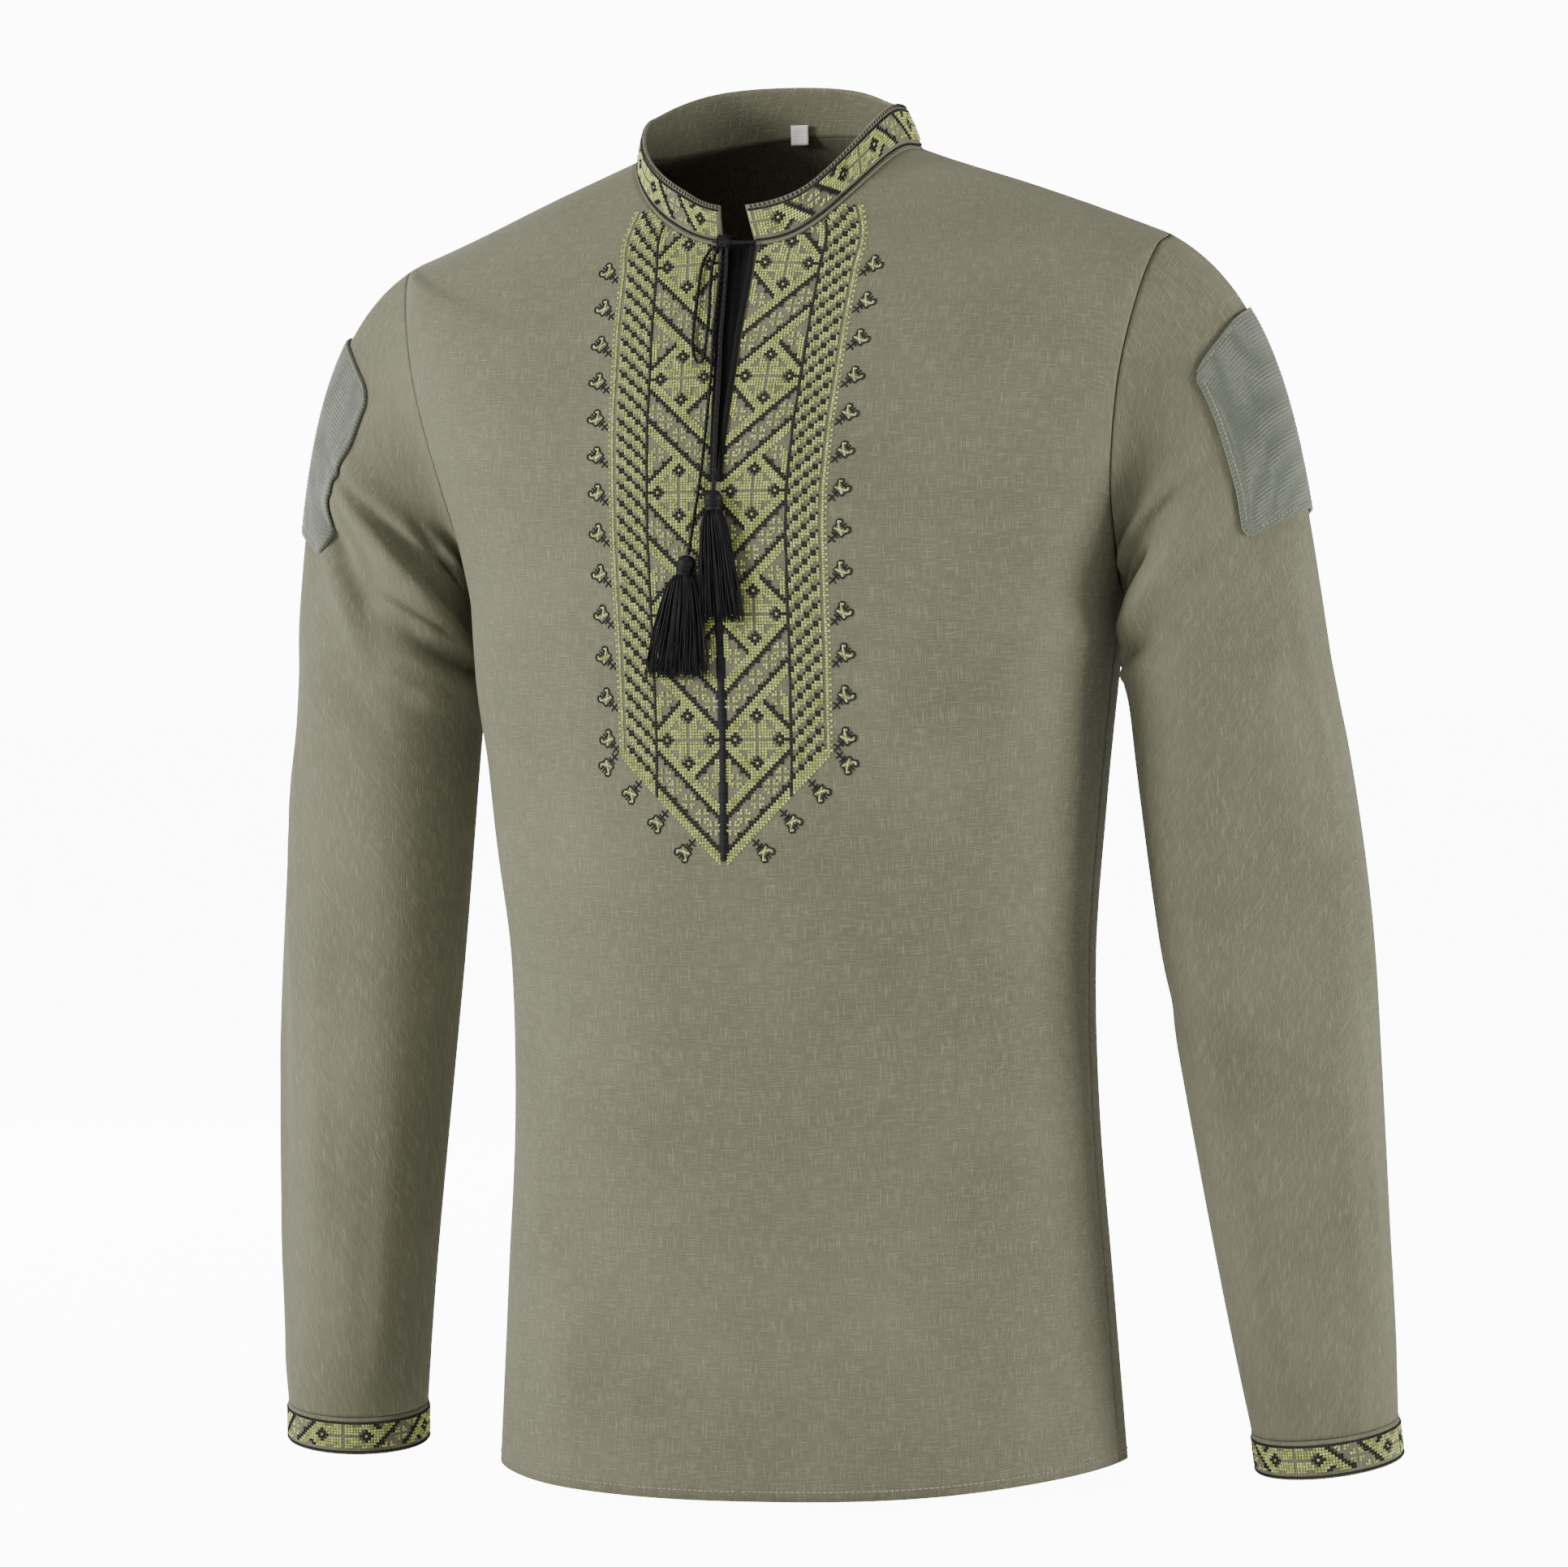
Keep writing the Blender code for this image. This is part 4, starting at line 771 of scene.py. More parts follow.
def linen_material():
    """Olive linen, plain-woven: a dull matt cloth with pale slubs in both yarns."""
    material, tree, shader = new_material(
        "plain_woven_olive_linen", "#7f7e6a", 0.92, IOR=1.45, Sheen_Weight=0.25, Sheen_Roughness=0.5,
        Sheen_Tint=colour("#b9b79f"),
    )
    lengths = add(tree, "ShaderNodeUVMap", {"uv_map": "lengths"}).outputs["UV"]
    # Yarns of 0.55 mm are too fine to show, so they are drawn 0.9 mm apart.
    yarn = 0.0009
    waves = []
    for direction in ("X", "Y"):
        wave = add(tree, "ShaderNodeTexWave", {
            "wave_type": "BANDS", "bands_direction": direction, "Scale": pi / (10 * yarn),
            "Distortion": 1.4, "Detail": 2.0, "Detail Scale": 0.8,
        }, {"Vector": lengths})
        waves.append(wave.outputs["Fac"])
    weave = add(tree, "ShaderNodeMath", {"operation": "MULTIPLY"}, {0: waves[0], 1: waves[1]}).outputs[0]
    # Slubs: thick places 0.5 mm across and 10 mm long, along either yarn
    slubs = []
    for stretch in ((1 / 0.0006, 1 / 0.011, 1), (1 / 0.010, 1 / 0.0005, 1)):
        drawn = add(tree, "ShaderNodeMapping", {"Scale": stretch}, {"Vector": lengths}).outputs["Vector"]
        noise = add(tree, "ShaderNodeTexNoise", {
            "Scale": 1.0, "Detail": 3.0, "Roughness": 0.6,
        }, {"Vector": drawn}).outputs["Fac"]
        ramp = add(tree, "ShaderNodeMapRange", {"From Min": 0.53, "From Max": 0.74}, {"Value": noise})
        slubs.append(ramp.outputs[0])
    slub = add(tree, "ShaderNodeMath", {"operation": "MAXIMUM"}, {0: slubs[0], 1: slubs[1]}).outputs[0]
    place = add(tree, "ShaderNodeTexCoord").outputs["Object"]
    blotch = add(tree, "ShaderNodeTexNoise", {
        "Scale": 14.0, "Detail": 3.0, "Roughness": 0.5,
    }, {"Vector": place}).outputs["Fac"]
    ground = add(tree, "ShaderNodeMix", {
        "data_type": "RGBA", 6: colour("#64644f"), 7: colour("#7f7e68"),
    }, {0: blotch}).outputs[2]
    hollow = add(tree, "ShaderNodeMath", {
        "operation": "SUBTRACT", 0: 0.8, "use_clamp": True,
    }, {1: weave}).outputs[0]
    woven = add(tree, "ShaderNodeMix", {
        "data_type": "RGBA", "blend_type": "MULTIPLY", 7: colour("#b9b9b4"),
    }, {0: hollow, 6: ground}).outputs[2]
    pale = add(tree, "ShaderNodeMath", {"operation": "MULTIPLY", 1: 0.36}, {0: slub}).outputs[0]
    final = add(tree, "ShaderNodeMix", {
        "data_type": "RGBA", 7: colour("#b1af92"),
    }, {0: pale, 6: woven}).outputs[2]
    tree.links.new(final, shader.inputs["Base Color"])
    height = add(tree, "ShaderNodeMath", {"operation": "MULTIPLY_ADD", 1: 0.6}, {0: slub, 2: weave})
    bump = add(tree, "ShaderNodeBump", {
        "Strength": 0.5, "Distance": 0.0004,
    }, {"Height": height.outputs[0]})
    tree.links.new(bump.outputs["Normal"], shader.inputs["Normal"])
    return material


def thread_material(name, dark, light, roughness, sheen, shine=0.5):
    """Stranded cotton with painted light: each stitch's colour is mixed at random between a shaded and a lit
    copy, as if it took the light a little differently along its pile.
    """
    material, tree, shader = new_material(
        name, light, roughness, IOR=1.5, Sheen_Weight=sheen, Sheen_Roughness=0.4, Specular_IOR_Level=shine,
    )
    # Painted light: the shade attribute mixes the dark (shaded) and the light (lit) copy of the thread
    # colour.
    shade = add(tree, "ShaderNodeAttribute", {"attribute_name": "shade"}).outputs["Fac"]
    mixed = add(tree, "ShaderNodeMix", {"data_type": "RGBA", 6: colour(dark), 7: colour(light)}, {0: shade})
    tree.links.new(mixed.outputs[2], shader.inputs["Base Color"])
    place = add(tree, "ShaderNodeTexCoord").outputs["Object"]
    fibres = add(tree, "ShaderNodeTexNoise", {"Scale": 2600.0, "Detail": 2.0}, {"Vector": place})
    bump = add(tree, "ShaderNodeBump", {
        "Strength": 0.35, "Distance": 0.0002,
    }, {"Height": fibres.outputs["Fac"]})
    tree.links.new(bump.outputs["Normal"], shader.inputs["Normal"])
    return material


def ribbed_material(name, dark, light, rib, stretch, roughness, sheen, shine=0.5):
    """Woven tape: fine ribs of yarn across it, with a soft change of colour."""
    material, tree, shader = new_material(
        name, light, roughness, IOR=1.45, Sheen_Weight=sheen, Sheen_Roughness=0.5, Specular_IOR_Level=shine,
    )
    lengths = add(tree, "ShaderNodeUVMap", {"uv_map": "lengths"}).outputs["UV"]
    drawn = add(tree, "ShaderNodeMapping", {"Scale": stretch}, {"Vector": lengths}).outputs["Vector"]
    ribs = add(tree, "ShaderNodeTexWave", {
        "wave_type": "BANDS", "bands_direction": "DIAGONAL", "Scale": pi / (10 * rib), "Distortion": 1.0,
        "Detail": 1.0,
    }, {"Vector": drawn}).outputs["Fac"]
    place = add(tree, "ShaderNodeTexCoord").outputs["Object"]
    nap = add(tree, "ShaderNodeTexNoise", {"Scale": 420.0, "Detail": 4.0}, {"Vector": place}).outputs["Fac"]
    share = add(tree, "ShaderNodeMath", {"operation": "MULTIPLY"}, {0: ribs, 1: nap}).outputs[0]
    mixed = add(tree, "ShaderNodeMix", {"data_type": "RGBA", 6: colour(dark), 7: colour(light)}, {0: share})
    tree.links.new(mixed.outputs[2], shader.inputs["Base Color"])
    bump = add(tree, "ShaderNodeBump", {"Strength": 0.5, "Distance": 0.0003}, {"Height": share})
    tree.links.new(bump.outputs["Normal"], shader.inputs["Normal"])
    return material


# Matt washed linen, for the cloth, the collar and the cuffs
LINEN = linen_material()
# In the thread materials the dark and the light colour are a shaded and a lit copy of one thread colour,
# mixed at random by the shade attribute: painted light.
# Stranded cotton has a soft gleam along each stitch; plain sewing cotton is duller.
LIME = thread_material("lime_stranded_cotton", "#8f9b3c", "#e8f39a", 0.5, 0.1)
OLIVE_THREAD = thread_material("olive_sewing_cotton", "#83826c", "#9d9b84", 0.7, 0.2)
BLACK_THREAD = thread_material("black_stranded_cotton", "#0a090e", "#1b191f", 0.6, 0.05, 0.3)
# Twisted cotton cord and brushed twill tape, both a deep black that hardly gleams
BLACK_CORD = thread_material("black_twisted_cotton_cord", "#030304", "#0d0c10", 0.6, 0.03, 0.22)
BLACK_TAPE = ribbed_material(
    "black_cotton_twill_tape", "#050506", "#121115", 0.0009, (1, 1, 1), 0.8, 0.03, 0.2,
)
# Looped tape of the arm pads: fuzzy and grey-green, with no gleam
PAD_TAPE = ribbed_material("looped_olive_tape", "#4f5447", "#787c6e", 0.0011, (0, 1, 1), 0.95, 0.5)
# Satin tape of the size tag: smooth and white
WHITE_SATIN = ribbed_material("white_satin_tape", "#d9d8d4", "#f4f3ef", 0.0008, (0, 1, 1), 0.5, 0.2)


def lay_grid(columns, rows, place, hand=1):
    """A bmesh grid laid on place(u, v), its lengths from the middle column kept as UV."""
    bm = bmesh.new()
    lengths = bm.loops.layers.uv.new("lengths")
    bmesh.ops.create_grid(bm, x_segments=columns, y_segments=rows, size=0.5)
    spots = np.array([vertex.co[:2] for vertex in bm.verts]) + 0.5
    i = np.round(spots[:, 0] * columns).astype(int)
    j = np.round(spots[:, 1] * rows).astype(int)
    v, u = np.meshgrid(np.linspace(0, 1, rows + 1), np.linspace(0, 1, columns + 1), indexing="ij")
    points = place(u, v)
    wide = np.cumsum(np.linalg.norm(np.diff(points, axis=1, prepend=points[:, :1]), axis=2), axis=1)
    tall = np.cumsum(np.linalg.norm(np.diff(points, axis=0, prepend=points[:1]), axis=2), axis=0)
    across, along = (wide * hand)[j, i], tall[j, i]
    for vertex, point in zip(bm.verts, points[j, i]):
        vertex.co = point
    for face in bm.faces:
        for loop in face.loops:
            k = loop.vert.index
            loop[lengths].uv = (across[k], along[k])
    return bm


UNMERGED = 0.0000001


def join_grids(parts, merge=0.00005):
    """One bmesh of several, with touching edges merged and the faces turned one way."""
    bm = bmesh.new()
    for part in parts:
        mesh = bpy.data.meshes.new("part")
        part.to_mesh(mesh)
        part.free()
        bm.from_mesh(mesh)
        bpy.data.meshes.remove(mesh)
    bmesh.ops.remove_doubles(bm, verts=bm.verts, dist=merge)
    bmesh.ops.recalc_face_normals(bm, faces=bm.faces)
    return bm


def put(name, mesh, material):
    """An object in the scene with a mesh of its own and one material."""
    mesh.materials.append(material)
    thing = bpy.data.objects.new(name, mesh)
    bpy.context.scene.collection.objects.link(thing)
    return thing


def make_piece(name, bm, material, replaced=(), wall=0.0):
    """A finished piece on the shirt, with a wall where it is a sheet."""
    mesh = bpy.data.meshes.new(name)
    bm.to_mesh(mesh)
    bm.free()
    mesh.shade_smooth()
    piece = put(name, mesh, material)
    if wall:
        solid = piece.modifiers.new("wall", "SOLIDIFY")
        solid.thickness = wall
        solid.offset = 0.0
        solid.use_rim = True
    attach(piece, "root")
    if replaced:
        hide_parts(*replaced)
    return piece


def thread_shape():
    """One short thread along X: a three-sided rod with its ridge up and domed ends."""
    bm = bmesh.new()
    bmesh.ops.create_cone(bm, cap_ends=True, cap_tris=True, segments=3, radius1=1, radius2=1, depth=1)
    bmesh.ops.rotate(bm, verts=bm.verts, cent=(0, 0, 0), matrix=Matrix.Rotation(pi / 2, 3, "Y"))
    ridge = max(bm.verts, key=lambda vertex: abs(vertex.co.y) + abs(vertex.co.z)).co
    ridge_turn = float(np.arctan2(ridge.y, ridge.z))
    bmesh.ops.rotate(bm, verts=bm.verts, cent=(0, 0, 0), matrix=Matrix.Rotation(ridge_turn, 3, "X"))
    for vertex in bm.verts:
        if abs(vertex.co.y) + abs(vertex.co.z) < 0.01:
            vertex.co.x *= 1.14
            vertex.co.z -= 0.2
        vertex.co.y *= 1.12
    bmesh.ops.triangulate(bm, faces=bm.faces)
    bmesh.ops.recalc_face_normals(bm, faces=bm.faces)
    mesh = bpy.data.meshes.new("thread")
    bm.to_mesh(mesh)
    bm.free()
    points = np.array([v.co[:] for v in mesh.vertices])
    faces = np.array([p.vertices[:] for p in mesh.polygons])
    bpy.data.meshes.remove(mesh)
    return points, faces


THREAD_POINTS, THREAD_FACES = thread_shape()


def set_painted_light(mesh, values):
    """How far a thread's painted light goes from its shaded to its lit colour at each corner of a mesh, 0 to
    1.
    """
    shade = mesh.attributes.new("shade", "FLOAT", "POINT")
    shade.data.foreach_set("value", values.astype(np.float32))


def add_painted_light(piece):
    """Soft random painted light on each corner of a piece: its thread's colour a little lighter or darker.
    """
    set_painted_light(piece.data, RANDOM.uniform(0.2, 0.8, len(piece.data.vertices)))


def lay_threads(name, places, size, material):
    """A piece of many threads, each at a start, an end and the normal of the cloth there."""
    starts, ends, normals = (np.reshape(x, (-1, 3)) for x in places)
    wide, high = size
    along = ends - starts
    across = unit(np.cross(normals, along))
    up = unit(np.cross(along, across))
    x, y, z = (THREAD_POINTS[None, :, k, None] for k in range(3))
    points = ((starts + ends) / 2)[:, None] + x * along[:, None]
    points = points + y * wide * across[:, None] + z * high * up[:, None]
    count, each = len(starts), len(THREAD_POINTS)
    faces = (THREAD_FACES[None] + (np.arange(count) * each)[:, None, None]).reshape(-1)
    mesh = bpy.data.meshes.new(name)
    mesh.vertices.add(count * each)
    mesh.vertices.foreach_set("co", points.reshape(-1).astype(np.float32))
    mesh.loops.add(len(faces))
    mesh.loops.foreach_set("vertex_index", faces.astype(np.int32))
    mesh.polygons.add(len(faces) // 3)
    mesh.polygons.foreach_set("loop_start", np.arange(0, len(faces), 3, dtype=np.int32))
    mesh.update(calc_edges=True)
    # Painted light: each thread gets one random shade between the shaded and the lit copy of its colour.
    set_painted_light(mesh, np.repeat(RANDOM.random(count), each))
    mesh.shade_smooth()
    piece = put(name, mesh, material)
    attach(piece, "root")


def cross_stitches(corners, normals, wanted):
    """Starts, ends and normals of the crosses that fill the wanted cells of a lattice."""
    a, b = corners[:-1, :-1][wanted], corners[:-1, 1:][wanted]
    c, d = corners[1:, 1:][wanted], corners[1:, :-1][wanted]
    n = normals[:-1, :-1][wanted]
    inset = 0.19
    under = (a + (c - a) * inset, c - (c - a) * inset, n)
    lift = n * 0.00022
    over = (d + (b - d) * inset + lift, b - (b - d) * inset + lift, n)
    return [np.concatenate(pair) for pair in zip(under, over)]


# Cords first: the bow's loop and the two hanging ends, laid down the front.
def smooth_route(rows, count):
    """Points evenly spaced along a smooth curve through a route's rows, and normals."""
    fine = curve(rows, np.linspace(0, len(rows) - 1, 12 * len(rows)))
    spots, normals = front_spot(fine[:, 0], fine[:, 1], fine[:, 2])
    run = run_of(spots)
    wanted = np.linspace(0, run[-1], count)
    return between(wanted, run, spots), unit(between(wanted, run, normals)), run[-1]


def sweep(points, normals, radius, sides, strands=0, pitch=0.0035, depth=0.13):
    """A closed round piece along points, its surface twisted into strands."""
    tangents = unit(np.gradient(points, axis=0))
    across = unit(np.cross(tangents, normals))
    up = np.cross(across, tangents)
    run = run_of(points)
    radius = np.broadcast_to(np.asarray(radius, float), len(points))

    def place(u, v):
        k = np.round(v * (len(points) - 1)).astype(int)
        angle = tau * u
        wave = np.cos(strands * (angle - tau * run[k] / (pitch * max(strands, 1)))) if strands else 1.0
        size = (radius[k] * (1 - depth + depth * wave))[..., None]
        return points[k] + (across[k] * np.cos(angle)[..., None] + up[k] * np.sin(angle)[..., None]) * size

    bm = join_grids([lay_grid(sides, len(points) - 1, place)], merge=0.00001)
    bmesh.ops.holes_fill(bm, edges=[edge for edge in bm.edges if edge.is_boundary], sides=0)
    bmesh.ops.recalc_face_normals(bm, faces=bm.faces)
    return bm


CORD_STEP = 0.00035
cords = {}
for name, rows, node in (
    ("bow_loop_cord", LOOP_ROUTE, "bow_loop"),
    ("left_tie_cord", TAIL_ROUTES["left"], "tie_end_left"),
    ("right_tie_cord", TAIL_ROUTES["right"], "tie_end_right"),
):
    _, _, length = smooth_route(rows, 4)
    points, normals, _ = smooth_route(rows, int(length / CORD_STEP))
    bm = sweep(points, normals, CORD_DIAMETER / 2, 18, 3, 0.0034)
    cord = make_piece(name, bm, BLACK_CORD, (node,))
    # Painted light: the cord's corners are made a little lighter or darker at random.
    add_painted_light(cord)
    cords[node] = (cord, points, length)


def tassel(which, count, seed):
    """A head bound with thread, and many fine strands that hang from it."""
    rng = np.random.default_rng(seed)
    top_x, top_z, foot_x, foot_z, end_x, end_z, half_wide = TASSELS[which]
    parts = []
    shares = np.linspace(0, 1, 24)
    centre_x, centre_z = top_x + (foot_x - top_x) * shares, top_z + (foot_z - top_z) * shares
    points, normals = front_spot(centre_x, centre_z, np.full(24, TASSEL_OFF))
    outline = np.interp(shares, *zip(*TASSEL_OUTLINE))
    parts.append(sweep(points, normals, TASSEL_HEAD * outline, 28, 28, 0.07, 0.035))
    # The binding: close turns of thread round the neck
    turns = np.linspace(0, 1, 160)
    middle = points[0] + (points[-1] - points[0]) * (0.56 + 0.22 * turns)[:, None]
    side_way = unit(np.cross(points[-1] - points[0], normals[12]))
    round_way = unit(np.cross(side_way, points[-1] - points[0]))
    angle = turns * tau * 6
    outward = side_way * np.cos(angle)[:, None] + round_way * np.sin(angle)[:, None]
    ring = middle + outward * TASSEL_HEAD * BINDING
    parts.append(sweep(ring, unit(ring - middle), 0.00038, 6))
    for k in range(count):
        u, v = rng.uniform(-1, 1), rng.uniform(-1, 1)
        size = max(abs(u), abs(v)) / max((u * u + v * v) ** 0.5, 1e-6)
        u, v = u * size, v * size
        share = np.linspace(0, 1, 12)
        spread = TASSEL_HEAD * BUNDLE + (half_wide * FULLER - TASSEL_HEAD * BUNDLE) * share ** 0.5
        length = 1 + rng.uniform(-0.05, 0.035)
        bend, phase = rng.uniform(-0.0011, 0.0011), rng.uniform(0, tau)
        sway = bend * np.sin(share * pi * 1.6 + phase) * share
        x = foot_x + (end_x - foot_x) * share + u * spread + sway
        z = foot_z + 0.001 + (end_z - foot_z) * share * length
        strand, strand_normals = front_spot(x, z, TASSEL_OFF - 0.0006 * share)
        strand[:, 1] -= v * TASSEL_HEAD * 0.80 * (1 - 0.1 * share)
        strand[:, 1] -= 0.0006 * np.sin(share * 5 + phase) * share
        parts.append(sweep(strand, strand_normals, 0.00034 * (1 - 0.3 * share), 5))
    bm = join_grids(parts, UNMERGED)
    piece = make_piece("tassel_" + which + "_strands", bm, BLACK_CORD, ("tassel_" + which,))
    # Painted light: the tassel's corners are made a little lighter or darker at random.
    add_painted_light(piece)


for which, count, seed in (("left", 170, 3), ("right", 230, 4)):
    tassel(which, count, seed)

for node, far_end in (("bow_loop", "object"), ("tie_end_left", "knot"), ("tie_end_right", "knot")):
    cord, cord_points, cord_length = cords[node]

# The knot: a thick wound middle over two cord ends that come out of the neck seam
knot_rows = curve(KNOT_ROUTE, np.linspace(0, len(KNOT_ROUTE) - 1, 90))
knot_points, knot_normals = front_spot(knot_rows[:, 0], knot_rows[:, 1], knot_rows[:, 2])
knot_parts = [sweep(knot_points, knot_normals, knot_rows[:, 3] * KNOT_FULLER, 24, 4, 0.0042, 0.10)]
wrap = np.linspace(0, 1, 150)
wrap_middle, wrap_normals = front_spot(WRAP_START + WRAP_LENGTH * wrap, WRAP_HEIGHT, WRAP_OFF)
wrap_across = unit(np.gradient(wrap_middle, axis=0))
wrap_up = unit(np.cross(wrap_normals, wrap_across))
wrap_angle = (wrap * tau * WRAP_TURNS)[:, None]
wrap_out = wrap_up * np.cos(wrap_angle) * KNOT_FULLER + wrap_normals * np.sin(wrap_angle)
wrap_points = wrap_middle + wrap_out * WRAP_RADIUS
knot_parts.append(sweep(wrap_points, unit(wrap_points - wrap_middle), WRAP_CORD, 12, 3, 0.0030))
knot_bm = join_grids(knot_parts, UNMERGED)
knot = make_piece("bow_knot_wound", knot_bm, BLACK_CORD, ("bow_knot",))
# Painted light: the knot's corners are made a little lighter or darker at random.
add_painted_light(knot)

# Cut pieces of cloth, each on the form of its solid
FRONT_GRID = (60, 156)
SLEEVE_GRID = (100, 160)
CUFF_GRID = (112, 8)
LEVEL_SHARES = np.linspace(0, 1, FRONT_GRID[1] + 1)


def half_panel(which, side, levels):
    """Half of the front or back as a grid, at the levels of its rows."""
    def place(u, v):
        return panel_point(which, side, u, np.interp(v, LEVEL_SHARES, levels))
    return lay_grid(*FRONT_GRID, place, side)


for which, steps in (("front", FRONT_TS), ("back", BACK_TS)):
    levels = np.interp(LEVEL_SHARES, np.linspace(0, 1, len(steps)), steps)
    bm = join_grids([half_panel(which, side, levels) for side in (-1, 1)])
    cloth = make_piece(which + "_cloth", bm, LINEN, (which,), CLOTH)

for side, side_name in SIDES:
    bm = join_grids([lay_grid(*SLEEVE_GRID, lambda u, v: sleeve_shape(side, u * TURNS, v * SLEEVE_ROWS))])
    cloth = make_piece("sleeve_cloth_" + side_name, bm, LINEN, ("sleeve_" + side_name,), CLOTH)
    bm = join_grids([lay_grid(*CUFF_GRID, lambda u, v: cuff_at(side, u * tau, v)[0])])
    cuff = make_piece("cuff_band_" + side_name, bm, LINEN, ("cuff_" + side_name,), CUFF_CLOTH)

collar_length = NECK_RUN[-1]
bm = lay_grid(190, 11, lambda u, v: collar_at(u * collar_length, v * 1.06 - 0.06)[0])
collar = make_piece("collar_band", bm, LINEN, ("collar",), COLLAR_CLOTH)

def on_pad(side, u, v, out):
    """Points and normals at shares across and down a pad, off the sleeve's middle surface."""
    low, high = (TURNS * turn / 360.0 for turn in PAD_TURNS)
    top, foot = PAD_STEPS
    return sleeve_at(side, low + (high - low) * u, top + (foot - top) * v, out)


# Hook and loop pads on the upper arms, with cross ribs and a stitched edge
for side, side_name in SIDES:
    def pad_place(u, v):
        edge = np.minimum(v, 1 - v) * PAD_TALL
        inside = np.maximum(PAD_CORNER - edge, 0)
        cut = PAD_CORNER - np.sqrt(np.maximum(PAD_CORNER ** 2 - inside ** 2, 0))
        share = 0.5 + (u - 0.5) * (1 - 2 * cut / PAD_WIDE)
        near = np.minimum(np.minimum(share, 1 - share) * PAD_WIDE, edge)
        rib = 0.00022 * np.cos(tau * v * PAD_TALL / 0.0022) * smoothstep(0.0035, 0.0045, near)
        groove = -0.00030 * np.exp(-((near - 0.0028) / 0.0007) ** 2)
        return on_pad(side, share, v, CLOTH / 2 + PAD_GAP + PAD_CLOTH / 2 + rib + groove)[0]

    bm = lay_grid(44, 240, pad_place)
    replaced = ("arm_pad_" + side_name,)
    pad = make_piece("arm_pad_tape_" + side_name, bm, PAD_TAPE, replaced, PAD_CLOTH)

# The slit: a twill facing behind it and a bound edge on each side
facing_ts = np.linspace(float(FRONT_TS[SLIT_STEP - 1]), float(NECK_ROW), 60)


def facing_place(u, v):
    t = np.interp(v, np.linspace(0, 1, 60), facing_ts)
    x = middle_x(t) + (u * 2 - 1) * (slit_half(t) + 0.008)
    turn = turn_at_x(x, t)
    out = -(CLOTH / 2 + LAY_GAP + FACING_CLOTH / 2)
    left = panel_at("front", 1, turn, t, np.full(t.shape, out))
    right = panel_at("front", -1, turn, t, np.full(t.shape, out))
    return np.where((x > 0)[..., None], left, right)


bm = lay_grid(16, 60, facing_place)
facing = make_piece("slit_facing_twill", bm, BLACK_TAPE, ("slit_facing",), FACING_CLOTH)

slit_low = float(FRONT_TS[SLIT_STEP] * 0.5 + FRONT_TS[SLIT_STEP + 1] * 0.5)
BIND_OUT = CLOTH / 2 + LAY_GAP + TAPE_CLOTH / 2


def beside_slit(side, t, away, out):
    """Points at a distance outward from the slit's edge, off the front's middle surface."""
    t, away = together(t, away)
    out = np.broadcast_to(np.asarray(out, float), t.shape)
    near = panel_point("front", side, np.zeros(t.shape), t, out)
    far = panel_point("front", side, np.full(t.shape, 1 / 9), t, out)
    return near + unit(far - near) * away[..., None]


for side, side_name in SIDES:
    def binding_place(u, v):
        t = slit_low + (NECK_ROW - slit_low) * v
        crown = 0.00025 * np.sin(pi * u)
        return beside_slit(side, t, 0.0004 + 0.0026 * u, BIND_OUT + crown)

    bm, replaced = lay_grid(8, 90, binding_place), ("slit_binding_" + side_name,)
    name = "slit_binding_tape_" + side_name
    binding = make_piece(name, bm, BLACK_TAPE, replaced, TAPE_CLOTH)

# A blank white size tag inside the back of the neck
def tag_place(u, v):
    x = -0.0143 + 0.010 * (u - 0.5)
    y = 0.0612 + 0.0006 * np.sin(pi * v) * np.cos(pi * (u - 0.5))
    return np.stack((x, y, 0.0192 - 0.0110 * v), axis=-1)


bm = lay_grid(8, 8, tag_place)
tag = make_piece("size_tag_satin", bm, WHITE_SATIN, ("size_tag",), TAPE_CLOTH)

# Machine stitches: round the pads, and above the hem
def stitches_along(points, normals, step=0.0030, share=0.68):
    """Starts, ends and normals of stitches spaced evenly along points."""
    run = run_of(points)
    at = np.arange(step / 2, run[-1] - step, step)
    return between(at, run, points), between(at + step * share, run, points), between(at, run, normals)


hem_rows = []
steps_across = np.linspace(0.002, 0.998, 160)
for which, rows in (("front", FRONT_ROWS), ("back", BACK_ROWS)):
    tall = sample(rows, 1.0)[4] - sample(rows, 0.0)[4]
    t = np.full(steps_across.shape, HEM_RISE / float(tall))
    for side in (-1, 1):
        middle = panel_point(which, side, steps_across, t, np.zeros(t.shape))
        outer = panel_point(which, side, steps_across, t, np.full(t.shape, CLOTH / 2 + 0.0001))
        hem_rows.append(stitches_along(outer, unit(outer - middle)))
lay_threads("hem_stitches", joined(hem_rows), HEM_THREAD, OLIVE_THREAD)

for side, side_name in SIDES:
    pad_rows = []
    for u, v in (
        ((0.09, 0.91), (0.026, 0.026)), ((0.09, 0.91), (0.974, 0.974)),
        ((0.030, 0.030), (0.08, 0.92)), ((0.970, 0.970), (0.08, 0.92)),
    ):
        out = np.full(60, CLOTH / 2 + PAD_GAP + PAD_CLOTH)
        points, normals = on_pad(side, np.linspace(*u, 60), np.linspace(*v, 60), out)
        pad_rows.append(stitches_along(points, normals, 0.0026))
    lay_threads("pad_stitches_" + side_name, joined(pad_rows), PAD_THREAD, OLIVE_THREAD)

